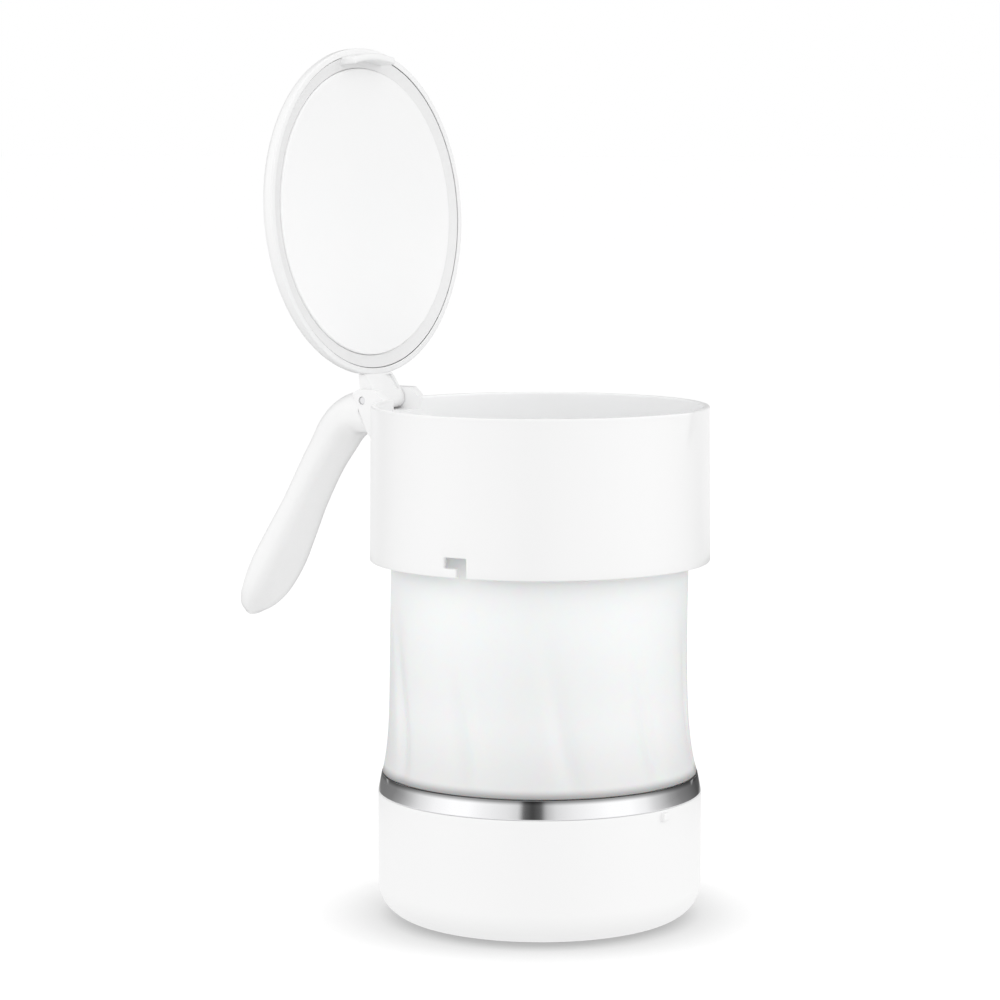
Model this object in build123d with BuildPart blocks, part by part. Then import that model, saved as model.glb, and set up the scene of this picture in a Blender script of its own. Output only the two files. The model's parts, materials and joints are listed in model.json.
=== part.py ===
from build123d import *
from math import acos, cos, exp, hypot, pi, radians, sin
import os

os.makedirs("parts", exist_ok=True)

# A collapsible cup for washing paws. It stands on a double-walled base. A pleated silicone sleeve
# joins the base to a wide collar, which carries the handle, the hinged lid and the bristle insert.
# Z is the cup's axis and z = 0 the surface it stands on. The hinge and the handle are towards -X,
# the pouring lip towards +X. The lid is modelled open, as it stands at rest. Millimetres.

# Fits
slide_clearance = 0.6  # collar round the base, on the radius
seat_gap = 0.1  # pieces of one assembly that seat on each other
moving_gap = 0.3  # pieces that pass each other
pin_clearance = 0.05  # hinge pin in the lid's knuckle, on the radius
root = 0.6  # how deep a moulded feature is rooted in its wall

# Base
base_radius = 59.7
base_height = 47.0
base_wall = 2.4
base_round = 12.0
ground_gap = 0.8
land_width = 1.2  # flat of the base shell between its rounded edge and the cover
rebate_width = 3.0
rebate_depth = 1.2
shelf_thickness = 1.5
shelf_width = 2.3
lug_width = 2.8
lug_height = 3.0
lug_reach = 1.5
lug_drop = 0.9  # top of the lug below the base's top edge
lug_angle = -9.0
lug_count = 2

# Bowl in the base
bowl_wall = 1.8
bowl_floor_height = 14.0
bowl_round = 9.0
bowl_flange_thickness = 1.7
boss_count = 4
boss_inset = 9.1  # centres of the bosses inside the edge of the pad
boss_radius = 4.0
screw_radius = 1.5
screw_bite = 6.0
screw_head_radius = 2.8
screw_head_height = 1.6

# Cover and pad under the base
cover_thickness = 3.0
cover_rim_width = 1.3
pad_thickness = 1.5

# Chrome band and the ring behind it
band_height = 6.9
band_draw = 1.4  # how much smaller the band is at its top, on the radius
band_thickness = 0.8

# Sleeve
sleeve_reach = 78.6  # from the band to the collar's lower edge
sleeve_inset = 5.1  # sleeve's outside in from the base's side, at the waist
sleeve_flare = 2.6
flare_length = 11.5
sleeve_wall = 1.6
sleeve_foot_height = 2.6
sleeve_foot_width = 1.5
sleeve_head_height = 1.6
pleat_count = 10
pleat_depth = 0.9
pleat_lean = -0.2  # degrees round the axis for each millimetre up
pleat_angle = -8.4  # of one crease, where it meets the band

# Collar
collar_wall = 2.2
collar_height = 56.8
collar_draft = 0.6  # how much smaller the collar is at the rim, on the radius
sleeve_seat_height = 24.7  # underside of the support ring above the collar's lower edge
slot_angle = -83.7
slot_entry_width = 3.7
slot_length = 8.7
slot_bar_height = 3.8
slot_rise = 3.3
lip_reach = 2.3
lip_height = 16.0
lip_nose_radius = 3.0

# Support ring in the collar, and the ring that clamps the sleeve's head under it
support_thickness = 2.8
support_width = 7.6
clamp_ring_height = 7.0
clamp_ring_lip = 1.6

# Bristle insert
holder_wall = 1.5
holder_length = 27.0
holder_flange_thickness = 1.8
tab_height = 8.0
tab_width = 14.0
tab_thickness = 1.4
silicone_wall = 1.5
silicone_lip_thickness = 1.2
silicone_lip_width = 4.0
bristle_rows = 6
bristles_per_row = 20
bristle_length = 17.0
bristle_root_radius = 1.3
bristle_taper = 1.6  # degrees

# Hinge
hinge_reach = 8.7  # hinge axis outside the rim
hinge_drop = 0.7  # hinge axis below the rim
pin_radius = 1.5
knuckle_radius = 4.0
neck_width = 18.0
neck_wall = 1.6
neck_web = 1.8
ear_width = 4.2
ear_setback = 3.2  # flat top of the ears starts this far outside the lid
pin_fit = 0.02  # hinge pin in the ears, on the radius
pin_recess = 0.4
bracket_drop = 20.6  # lower end of the bracket below the hinge axis
seam_top = (4.6, 2.6)  # upper end of the handle's seam, outside and above the hinge axis
seam_foot = (-2.6, -12.6)  # lower end of the seam

# Lid
lid_lean = 3.5  # past upright, when open
lid_margin = 0.3  # closed lid inside the edge of the rim
lid_wall = 1.6
lid_edge_height = 2.6
lid_crown_height = 8.0
lid_shoulder_width = 7.2
lid_shoulder_height = 7.0
lid_rest_gap = 0.3  # closed lid above the rim
groove_width = 6.3  # between the lid's lip and its disc
disc_depth = 0.9
disc_thickness = 1.6
seal_depth = 2.2  # face of the seal inside the lid's lip, which is the bottom of the groove
seal_clearance = 0.6  # seal inside the lid's lip
seal_thickness = 1.2
seal_bevel = 1.6
catch_width = 26.0
catch_depth = 6.0
catch_thickness = 2.6
catch_clearance = 0.5

# Handle
# Stations down the handle: out from the hinge axis, down from it, thickness, width
handle_stations = [
    (8.0, 5.2, 15.8, 25.7),
    (14.0, 7.8, 14.5, 24.5),
    (19.0, 12.6, 13.6, 23.2),
    (22.6, 18.0, 12.8, 22.2),
    (28.7, 27.2, 11.8, 21.6),
    (36.4, 41.0, 11.7, 22.0),
    (43.3, 53.7, 13.0, 24.6),
    (49.7, 65.4, 13.6, 27.0),
    (55.6, 75.7, 11.5, 25.6),
    (59.8, 82.1, 8.2, 19.0),
    (61.8, 85.4, 3.9, 10.0),
]
strip_width = 12.6
strip_depth = 0.28  # floor of the strip's pocket outside the middle, as a share of the thickness
handle_seam_gap = 0.25
handle_screw_radius = 1.5
handle_screw_head_radius = 2.4
handle_screw_head_height = 1.8
handle_screw_spacing = 6.8
handle_screw_drop = 8.6  # below the hinge axis
handle_screw_seat = 13.0  # outside the hinge axis
handle_screw_length = 19.5

# Worked out from the above
base_inner_radius = base_radius - base_wall
shelf_top = base_height - seat_gap - bowl_flange_thickness
rebate_radius = base_radius - base_round - land_width
bottom_opening_radius = rebate_radius - rebate_width
cover_bottom = ground_gap
cover_top = cover_bottom + pad_thickness - ground_gap + cover_thickness
pad_radius = bottom_opening_radius - seat_gap - cover_rim_width
boss_circle_radius = pad_radius - boss_inset
band_top = base_height + seat_gap / 2 + band_height
ring_outer_radius = base_radius - band_thickness - seat_gap
sleeve_foot_radius = base_inner_radius - moving_gap
sleeve_neck_radius = sleeve_foot_radius - sleeve_foot_width
sleeve_waist_radius = base_radius - sleeve_inset
sleeve_inner_radius = sleeve_waist_radius - sleeve_wall
bowl_inner_radius = sleeve_inner_radius
bowl_outer_radius = bowl_inner_radius + bowl_wall
collar_bottom = band_top + sleeve_reach
rim_height = collar_bottom + collar_height
bore_radius = base_radius + slide_clearance
collar_radius = bore_radius + collar_wall
rim_radius = collar_radius - collar_draft
chamber_radius = rim_radius - collar_wall
support_bottom = collar_bottom + sleeve_seat_height
support_top = support_bottom + support_thickness
support_inner_radius = chamber_radius - support_width
hinge_distance = rim_radius + hinge_reach
hinge_x = -hinge_distance
hinge_z = rim_height - hinge_drop
rim_plane_z = rim_height + lid_rest_gap
lid_offset = rim_plane_z - hinge_z  # lid's lower edge above the hinge axis, closed
lid_radius = rim_radius - lid_margin
lid_inner_radius = lid_radius - lid_wall
lid_crown_radius = lid_radius - lid_shoulder_width
disc_radius = lid_inner_radius - groove_width
skirt_root = hinge_distance - lid_radius + root
ear_inside = neck_width / 2 + moving_gap
ear_outside = ear_inside + ear_width
sleeve_head_top = support_bottom - seat_gap
sleeve_head_bottom = sleeve_head_top - sleeve_head_height
sleeve_head_radius = bore_radius - clamp_ring_lip - 2 * moving_gap


# Base shell: a tub with a rounded lower edge, a shelf for the bowl's flange, a rebated opening
# underneath for the cover, and the bayonet lugs just under its top edge.
round_centre = (base_radius - base_round, ground_gap + base_round)
lug_z = base_height - lug_drop - lug_height / 2
lug_planes = []
for index in range(lug_count):
    angle = radians(lug_angle + 360 / lug_count * index)
    outwards = Vector(cos(angle), sin(angle), 0)
    origin = outwards * (base_radius - root) + Vector(0, 0, lug_z)
    lug_planes.append(Plane(origin=origin, x_dir=(-sin(angle), cos(angle), 0), z_dir=outwards))

with BuildPart() as base_shell:
    with BuildSketch(Plane.XZ):
        with BuildLine():
            outer_round = CenterArc(round_centre, base_round, -90, 90)
            inner_round = CenterArc(round_centre, base_round - base_wall, -90, 90)
            Polyline(
                outer_round @ 1,
                (base_radius, base_height),
                (base_inner_radius, base_height),
                (base_inner_radius, shelf_top),
                (base_inner_radius - shelf_width, shelf_top),
                (base_inner_radius - shelf_width, shelf_top - shelf_thickness),
                (base_inner_radius, shelf_top - shelf_thickness - shelf_width),
                inner_round @ 1,
            )
            Polyline(
                inner_round @ 0,
                (bottom_opening_radius, ground_gap + base_wall),
                (bottom_opening_radius, ground_gap + rebate_depth),
                (rebate_radius, ground_gap + rebate_depth),
                (rebate_radius, ground_gap),
                outer_round @ 0,
            )
        make_face()
    revolve(axis=Axis.Z)
    with BuildSketch(*lug_planes):
        RectangleRounded(lug_width, lug_height, lug_width / 5)
    extrude(amount=root + lug_reach)
base_shell.part.label = "base_shell"
export_step(base_shell.part, "parts/base_shell.step")

# Bowl: the wet inner wall of the base. Its flange lies on the base shell's shelf, and its bosses
# take the screws of the cover.
bowl_underside = bowl_floor_height - bowl_wall
bowl_round_centre = (bowl_inner_radius - bowl_round, bowl_floor_height + bowl_round)
with BuildPart() as base_bowl:
    with BuildSketch(Plane.XZ):
        with BuildLine():
            bowl_inside = CenterArc(bowl_round_centre, bowl_round, -90, 90)
            bowl_outside = CenterArc(bowl_round_centre, bowl_round + bowl_wall, -90, 90)
            Polyline(
                bowl_inside @ 0,
                (0, bowl_floor_height),
                (0, bowl_underside),
                bowl_outside @ 0,
            )
            Polyline(
                bowl_outside @ 1,
                (bowl_outer_radius, shelf_top + seat_gap),
                (base_inner_radius - seat_gap, shelf_top + seat_gap),
                (base_inner_radius - seat_gap, base_height),
                (bowl_inner_radius, base_height),
                bowl_inside @ 1,
            )
        make_face()
    revolve(axis=Axis.Z)
    with BuildSketch(Plane.XY.offset(cover_top + seat_gap)):
        with PolarLocations(boss_circle_radius, boss_count):
            Circle(boss_radius)
    extrude(amount=bowl_underside - cover_top - seat_gap + root)
    with BuildSketch(Plane.XY.offset(cover_top + seat_gap)):
        with PolarLocations(boss_circle_radius, boss_count):
            Circle(screw_radius)
    extrude(amount=screw_bite + seat_gap, mode=Mode.SUBTRACT)
base_bowl.part.label = "base_bowl"
export_step(base_bowl.part, "parts/base_bowl.step")

# Cover: closes the base from below. Its flange laps the shell's rebate, its underside is
# recessed for the pad, and the screw heads sink into it.
with BuildPart() as base_cover:
    with BuildSketch(Plane.XY.offset(cover_bottom)):
        Circle(rebate_radius - seat_gap)
    extrude(amount=rebate_depth - seat_gap)
    with BuildSketch(Plane.XY.offset(cover_bottom)):
        Circle(bottom_opening_radius - seat_gap)
    extrude(amount=cover_top - cover_bottom)
    with BuildSketch(Plane.XY.offset(cover_bottom)):
        Circle(pad_radius + seat_gap)
    extrude(amount=pad_thickness - ground_gap, mode=Mode.SUBTRACT)
    with BuildSketch(Plane.XY.offset(pad_thickness)):
        with PolarLocations(boss_circle_radius, boss_count):
            Circle(screw_radius + seat_gap)
    extrude(amount=cover_thickness, mode=Mode.SUBTRACT)
    with BuildSketch(Plane.XY.offset(pad_thickness)):
        with PolarLocations(boss_circle_radius, boss_count):
            Circle(screw_head_radius + seat_gap)
    extrude(amount=screw_head_height + seat_gap, mode=Mode.SUBTRACT)
base_cover.part.label = "base_cover"
export_step(base_cover.part, "parts/base_cover.step")

# Screws of the cover, hidden by the pad
screw_head_bottom = pad_thickness + seat_gap / 2
with BuildPart() as base_screws:
    with BuildSketch(Plane.XY.offset(screw_head_bottom)):
        with PolarLocations(boss_circle_radius, boss_count):
            Circle(screw_head_radius)
    extrude(amount=screw_head_height)
    with BuildSketch(Plane.XY.offset(screw_head_bottom + screw_head_height)):
        with PolarLocations(boss_circle_radius, boss_count):
            Circle(screw_radius)
    extrude(amount=cover_top - screw_head_bottom - screw_head_height + screw_bite)
base_screws.part.label = "base_screws"
export_step(base_screws.part, "parts/base_screws.step")

# Non-slip pad, the face that the cup rests on
with BuildPart() as base_pad:
    with BuildSketch(Plane.XY):
        Circle(pad_radius)
    extrude(amount=pad_thickness)
base_pad.part.label = "base_pad"
export_step(base_pad.part, "parts/base_pad.step")

# Chrome band: a drawn ring that carries the line of the base up to the sleeve
band_bottom = base_height + seat_gap / 2
with BuildPart() as chrome_band:
    with BuildSketch(Plane.XZ):
        Polygon(
            (base_radius - band_thickness, band_bottom),
            (base_radius, band_bottom),
            (base_radius - band_draw, band_top),
            (base_radius - band_draw - band_thickness, band_top),
            align=None,
        )
    revolve(axis=Axis.Z)
chrome_band.part.label = "chrome_band"
export_step(chrome_band.part, "parts/chrome_band.step")

# Ring behind the chrome band, which clamps the sleeve's foot on the bowl's flange
ring_bottom = base_height + seat_gap
ring_top = band_top - seat_gap
foot_top = ring_bottom + sleeve_foot_height
with BuildPart() as lower_clamp_ring:
    with BuildSketch(Plane.XZ):
        Polygon(
            (sleeve_foot_radius + seat_gap, ring_bottom),
            (ring_outer_radius, ring_bottom),
            (ring_outer_radius - band_draw, ring_top),
            (sleeve_neck_radius + moving_gap, ring_top),
            (sleeve_neck_radius + moving_gap, foot_top + seat_gap),
            (sleeve_foot_radius + seat_gap, foot_top + seat_gap),
            align=None,
        )
    revolve(axis=Axis.Z)
lower_clamp_ring.part.label = "lower_clamp_ring"
export_step(lower_clamp_ring.part, "parts/lower_clamp_ring.step")


# Sleeve: a waisted silicone tube that flares out over the band. Its pleats lean round the axis,
# so it folds down in a twist. They are deepest low down and fade out in the collar.
def sleeve_radius(height):
    """Outside radius between the pleats."""
    return sleeve_waist_radius + sleeve_flare * exp(-(height - band_top) / flare_length)


def pleated_outline(height):
    """Closed curve round the sleeve, with one crease to each pleat."""
    share = (height - band_top) / sleeve_reach
    depth = pleat_depth * sin(pi * min(1, share ** 0.6)) ** 2
    start = pleat_angle + pleat_lean * (height - band_top)
    with BuildSketch(Plane.XY.offset(height)) as outline:
        with BuildLine():
            points = []
            for step in range(4 * pleat_count):
                angle = radians(start + 90 / pleat_count * step)
                dip = depth * (0.5 + 0.5 * cos(pi / 2 * (step % 4))) ** 2
                radius = sleeve_radius(height) - dip
                points.append((radius * cos(angle), radius * sin(angle)))
            Spline(*points, periodic=True)
        make_face()
    return outline.sketch


sleeve_bottom = base_height + seat_gap / 2
pleat_levels = [0, 0.06, 0.14, 0.28, 0.48, 0.72, 1]
lofted = [pleated_outline(band_top + seat_gap + level * sleeve_reach) for level in pleat_levels]
lofted.append(pleated_outline(sleeve_head_bottom + root))
with BuildPart() as sleeve:
    loft(sections=lofted)
    with BuildSketch(Plane.XZ):
        Polygon(
            (0, sleeve_head_bottom),
            (sleeve_head_radius, sleeve_head_bottom),
            (sleeve_head_radius, sleeve_head_top),
            (0, sleeve_head_top),
            align=None,
        )
    revolve(axis=Axis.Z)
    with BuildSketch(Plane.XZ):
        Polygon(
            (0, sleeve_bottom),
            (sleeve_foot_radius, sleeve_bottom),
            (sleeve_foot_radius, foot_top),
            (sleeve_neck_radius, foot_top),
            (sleeve_neck_radius, band_top + root),
            (0, band_top + root),
            align=None,
        )
    revolve(axis=Axis.Z)
    with BuildSketch(Plane.XY.offset(sleeve_bottom)):
        Circle(sleeve_inner_radius)
    extrude(amount=sleeve_head_top - sleeve_bottom, mode=Mode.SUBTRACT)
sleeve.part.label = "sleeve"
export_step(sleeve.part, "parts/sleeve.step")

# Ring that clamps the sleeve's head under the support ring
clamp_ring_top = support_bottom - moving_gap
clamp_ring_shelf = sleeve_head_bottom - moving_gap
with BuildPart() as upper_clamp_ring:
    with BuildSketch(Plane.XZ):
        Polygon(
            (sleeve_waist_radius + 2 * moving_gap, clamp_ring_shelf - clamp_ring_height),
            (bore_radius - moving_gap, clamp_ring_shelf - clamp_ring_height),
            (bore_radius - moving_gap, clamp_ring_top),
            (sleeve_head_radius + moving_gap, clamp_ring_top),
            (sleeve_head_radius + moving_gap, clamp_ring_shelf),
            (sleeve_waist_radius + 2 * moving_gap, clamp_ring_shelf),
            align=None,
        )
    revolve(axis=Axis.Z)
upper_clamp_ring.part.label = "upper_clamp_ring"
export_step(upper_clamp_ring.part, "parts/upper_clamp_ring.step")


# Collar: a drafted tube with a pouring lip pressed out of its rim, a bracket with two ears for
# the hinge, a notch between the ears for the lid's neck, and two bayonet slots in its lower edge.
def lip_outline(radius, reach, height):
    """Beak in plan, tangent to a circle, with a rounded nose."""
    nose = radius + reach
    half_angle = acos(radius / nose)
    side = (radius * cos(half_angle), radius * sin(half_angle))
    with BuildSketch(Plane.XY.offset(height)) as outline:
        Polygon((nose, 0), side, (0, 0), (side[0], -side[1]), align=None)
        fillet(outline.vertices().sort_by(Axis.X)[-1], radius=lip_nose_radius)
    return outline.sketch


def radial_plane(angle, radius, height):
    """Plane square to a radius: its x runs round the cup, its y up."""
    outwards = Vector(cos(radians(angle)), sin(radians(angle)), 0)
    around = Vector(-outwards.Y, outwards.X, 0)
    return Plane(origin=outwards * radius + Vector(0, 0, height), x_dir=around, z_dir=outwards)


lip_outside = lip_outline(rim_radius, lip_reach, rim_height)
lip_inside = lip_outline(chamber_radius, lip_reach, rim_height)
lip_tip_z = rim_height - lip_height
seam_high = (hinge_x - seam_top[0], hinge_z + seam_top[1])
seam_low = (hinge_x - seam_foot[0], hinge_z + seam_foot[1])
handle_screw_z = hinge_z - handle_screw_drop
handle_screw_head_x = hinge_x - handle_screw_seat
handle_screw_plane = Plane(origin=(handle_screw_head_x, 0, handle_screw_z), x_dir=(0, 1, 0), z_dir=(1, 0, 0))
slot_planes = [radial_plane(slot_angle + 360 / lug_count * i, bore_radius, collar_bottom) for i in range(lug_count)]
with BuildPart() as collar_shell:
    with BuildSketch(Plane.XZ):
        Polygon(
            (0, collar_bottom),
            (collar_radius, collar_bottom),
            (rim_radius, rim_height),
            (0, rim_height),
            align=None,
        )
    revolve(axis=Axis.Z)
    loft(sections=[lip_outside, Vertex(rim_radius, 0, lip_tip_z)])
    with BuildSketch(Plane.XZ):
        Polygon(
            (-(rim_radius - root), hinge_z - bracket_drop),
            seam_low,
            seam_high,
            (hinge_x - knuckle_radius / 2, hinge_z + knuckle_radius),
            (-(lid_radius + ear_setback), hinge_z + knuckle_radius),
            (-(lid_radius - moving_gap), rim_height),
            align=None,
        )
    extrude(amount=ear_outside, both=True)
    with BuildSketch(Plane.XZ):
        Polygon(
            (0, collar_bottom),
            (bore_radius, collar_bottom),
            (bore_radius, support_top),
            (chamber_radius, support_top),
            (chamber_radius, rim_height),
            (0, rim_height),
            align=None,
        )
    revolve(axis=Axis.Z, mode=Mode.SUBTRACT)
    loft(sections=[lip_inside, Vertex(chamber_radius, 0, lip_tip_z)], mode=Mode.SUBTRACT)
    with BuildSketch(Plane.XZ):
        with Locations((hinge_x, hinge_z)):
            Circle(knuckle_radius + moving_gap)
        Polygon(
            (hinge_x, hinge_z - knuckle_radius - moving_gap),
            (-(chamber_radius - neck_width), hinge_z - knuckle_radius - moving_gap),
            (-(chamber_radius - neck_width), rim_height + knuckle_radius),
            (hinge_x - 2 * knuckle_radius, rim_height + knuckle_radius),
            (hinge_x - knuckle_radius - moving_gap, hinge_z),
            align=None,
        )
    extrude(amount=ear_inside, both=True, mode=Mode.SUBTRACT)
    with BuildSketch(Plane.XZ):
        with Locations((hinge_x, hinge_z)):
            Circle(pin_radius + pin_fit)
    extrude(amount=ear_outside, both=True, mode=Mode.SUBTRACT)
    with BuildSketch(*slot_planes):
        with Locations((0, slot_rise / 2)):
            Rectangle(slot_entry_width, slot_rise + root)
        with Locations((slot_entry_width / 2, slot_rise)):
            Rectangle(slot_length, slot_bar_height, align=(Align.MAX, Align.MIN))
    extrude(amount=collar_wall, both=True, mode=Mode.SUBTRACT)
    with BuildSketch(handle_screw_plane):
        with Locations((-handle_screw_spacing / 2, 0), (handle_screw_spacing / 2, 0)):
            Circle(handle_screw_radius)
    extrude(amount=handle_screw_length, mode=Mode.SUBTRACT)
collar_shell.part.label = "collar_shell"
export_step(collar_shell.part, "parts/collar_shell.step")

# Support ring: a shelf in the collar, with the sleeve's head under it and the insert on it
with BuildPart() as support_ring:
    with BuildSketch(Plane.XZ):
        Polygon(
            (support_inner_radius, support_bottom),
            (bore_radius - seat_gap, support_bottom),
            (bore_radius - seat_gap, support_top - seat_gap),
            (support_inner_radius, support_top - seat_gap),
            align=None,
        )
    revolve(axis=Axis.Z)
support_ring.part.label = "support_ring"
export_step(support_ring.part, "parts/support_ring.step")

# Insert holder: a flanged hoop that drops in on the support ring, with two tabs to lift it by
holder_bottom = support_top - holder_length
holder_radius = support_inner_radius - moving_gap
holder_inner_radius = holder_radius - holder_wall
flange_bottom = support_top
flange_top = flange_bottom + holder_flange_thickness
flange_radius = chamber_radius - moving_gap
with BuildPart() as insert_holder:
    with BuildSketch(Plane.XZ):
        Polygon(
            (holder_inner_radius, holder_bottom),
            (holder_radius, holder_bottom),
            (holder_radius, flange_bottom),
            (flange_radius, flange_bottom),
            (flange_radius, flange_top),
            (holder_inner_radius, flange_top),
            align=None,
        )
    revolve(axis=Axis.Z)
    with BuildSketch(Plane.XY.offset(flange_top - root)):
        Circle(flange_radius)
        Circle(flange_radius - tab_thickness, mode=Mode.SUBTRACT)
        Rectangle(tab_width, 3 * flange_radius, mode=Mode.INTERSECT)
    extrude(amount=tab_height + root)
insert_holder.part.label = "insert_holder"
export_step(insert_holder.part, "parts/insert_holder.step")

# Silicone tube that lines the holder and hooks over its flange
tube_radius = holder_inner_radius - seat_gap
tube_inner_radius = tube_radius - silicone_wall
tube_top = flange_top + seat_gap + silicone_lip_thickness
with BuildPart() as bristle_sleeve:
    with BuildSketch(Plane.XZ):
        Polygon(
            (tube_inner_radius, holder_bottom),
            (tube_radius, holder_bottom),
            (tube_radius, flange_top + seat_gap),
            (tube_radius + silicone_lip_width, flange_top + seat_gap),
            (tube_radius + silicone_lip_width, tube_top),
            (tube_inner_radius, tube_top),
            align=None,
        )
    revolve(axis=Axis.Z)
bristle_sleeve.part.label = "bristle_sleeve"
export_step(bristle_sleeve.part, "parts/bristle_sleeve.step")

# Bristles: staggered rows of soft tapered bristles that point inwards from the silicone tube
row_pitch = (holder_length - silicone_wall) / bristle_rows
bristle_planes = []
for row in range(bristle_rows):
    for place in range(bristles_per_row):
        angle = 360 / bristles_per_row * (place + row % 2 / 2)
        height = holder_bottom + row_pitch * (row + 0.5)
        rooted = radial_plane(angle, tube_inner_radius - seat_gap, height)
        bristle_planes.append(Plane(origin=rooted.origin, x_dir=rooted.x_dir, z_dir=-rooted.z_dir))
with BuildPart() as bristles:
    with BuildSketch(*bristle_planes):
        RegularPolygon(bristle_root_radius, 6)
    extrude(amount=bristle_length, taper=bristle_taper)
bristles.part.label = "bristles"
export_step(bristles.part, "parts/bristles.step")

# Hinge pin, through both ears and the lid's knuckle
with BuildPart() as hinge_pin:
    with BuildSketch(Plane.XZ):
        with Locations((hinge_x, hinge_z)):
            Circle(pin_radius)
    extrude(amount=ear_outside - pin_recess, both=True)
hinge_pin.part.label = "hinge_pin"
export_step(hinge_pin.part, "parts/hinge_pin.step")

# Frame of the lid: origin on the hinge axis, x from the hinge towards the lid's free end, z out of
# its crown. Closed, that frame lies square to the cup. At rest the lid leans open.
lean = radians(lid_lean)
lid_frame = Plane(
    origin=(hinge_x, 0, hinge_z),
    x_dir=(-sin(lean), 0, cos(lean)),
    z_dir=(-cos(lean), 0, -sin(lean)),
)
lid_centre = lid_frame.origin + lid_frame.x_dir * hinge_distance + lid_frame.z_dir * lid_offset
lid_plane = Plane(origin=lid_centre, x_dir=lid_frame.x_dir, z_dir=lid_frame.z_dir)
lid_section = Plane(origin=lid_centre, x_dir=lid_frame.x_dir, z_dir=-lid_frame.y_dir)
lid_side = Plane(origin=lid_frame.origin, x_dir=lid_frame.x_dir, z_dir=-lid_frame.y_dir)
lid_axis = Axis(lid_centre, lid_frame.z_dir)


def neck_outline(gap):
    """Side view of the lid's neck and knuckle, grown by a gap."""
    with BuildSketch(lid_side) as outline:
        Circle(knuckle_radius + gap)
        Polygon(
            (0, -knuckle_radius - gap),
            (knuckle_radius, -0.8 * knuckle_radius - gap),
            (skirt_root, lid_offset - gap),
            (skirt_root, lid_offset + lid_edge_height + lid_wall / 2 + gap),
            (0, knuckle_radius + gap),
            align=None,
        )
    return outline.sketch


# Handle: lofted through rounded sections from the bracket's seam to its free end. A strip let
# into its outer face hides the two screws that hold it to the bracket.
seam_mid = ((seam_low[0] + seam_high[0]) / 2, (seam_low[1] + seam_high[1]) / 2)
seam_length = hypot(seam_high[0] - seam_low[0], seam_high[1] - seam_low[1])
seam_slope = Vector(seam_high[0] - seam_low[0], 0, seam_high[1] - seam_low[1]).normalized()
seam_normal = Vector(-seam_slope.Z, 0, seam_slope.X)
spine = [Vector(hinge_x - out, 0, hinge_z - down) for out, down, _, _ in handle_stations]
spine.insert(0, Vector(seam_mid[0], 0, seam_mid[1]) + seam_normal * handle_seam_gap)
thicknesses = [seam_length] + [station[2] for station in handle_stations]
widths = [2 * ear_outside] + [station[3] for station in handle_stations]
tangents = [seam_normal]
for index in range(1, len(spine) - 1):
    tangents.append((spine[index + 1] - spine[index - 1]).normalized())
tangents.append((spine[-1] - spine[-2]).normalized())
with BuildPart() as handle_blank:
    for index, middle in enumerate(spine):
        with BuildSketch(Plane(origin=middle, x_dir=(0, 1, 0), z_dir=tangents[index])):
            thickness = thicknesses[index]
            RectangleRounded(widths[index], thickness, 0.46 * min(thickness, widths[index]))
    loft()


def strip_outline(gap):
    """Side view of the strip: the floor of its pocket, closed well outside the handle."""
    floor = []
    outside = []
    for index in range(2, len(spine) - 2):
        outwards = Vector(0, 1, 0).cross(tangents[index])
        on_floor = spine[index] + outwards * (strip_depth * thicknesses[index] - gap)
        floor.append((on_floor.X, on_floor.Z))
        beyond = spine[index] + outwards * seam_length
        outside.append((beyond.X, beyond.Z))
    return Polyline(*floor, *reversed(outside), close=True)


with BuildPart() as handle_body:
    add(handle_blank.part)
    extrude(neck_outline(moving_gap), amount=ear_inside, both=True, mode=Mode.SUBTRACT)
    with BuildSketch(Plane.XZ):
        with BuildLine():
            strip_outline(seat_gap)
        make_face()
    extrude(amount=strip_width / 2 + seat_gap, both=True, mode=Mode.SUBTRACT)
    with BuildSketch(handle_screw_plane):
        with Locations((-handle_screw_spacing / 2, 0), (handle_screw_spacing / 2, 0)):
            Circle(handle_screw_radius + seat_gap)
    extrude(amount=handle_screw_length, mode=Mode.SUBTRACT)
    with BuildSketch(handle_screw_plane):
        with Locations((-handle_screw_spacing / 2, 0), (handle_screw_spacing / 2, 0)):
            Circle(handle_screw_head_radius + seat_gap)
    extrude(amount=-seam_length, mode=Mode.SUBTRACT)
handle_body.part.label = "handle_body"
export_step(handle_body.part, "parts/handle_body.step")

with BuildPart() as handle_strip:
    add(handle_blank.part)
    with BuildSketch(Plane.XZ):
        with BuildLine():
            strip_outline(0)
        make_face()
    extrude(amount=strip_width / 2, both=True, mode=Mode.INTERSECT)
handle_strip.part.label = "handle_strip"
export_step(handle_strip.part, "parts/handle_strip.step")

with BuildPart() as handle_screws:
    with BuildSketch(handle_screw_plane.offset(-seat_gap)):
        with Locations((-handle_screw_spacing / 2, 0), (handle_screw_spacing / 2, 0)):
            Circle(handle_screw_radius)
    extrude(amount=handle_screw_length - seat_gap)
    with BuildSketch(handle_screw_plane.offset(-seat_gap)):
        with Locations((-handle_screw_spacing / 2, 0), (handle_screw_spacing / 2, 0)):
            Circle(handle_screw_head_radius)
    extrude(amount=-handle_screw_head_height)
handle_screws.part.label = "handle_screws"
export_step(handle_screws.part, "parts/handle_screws.step")

catch_radius = chamber_radius - catch_clearance
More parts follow.
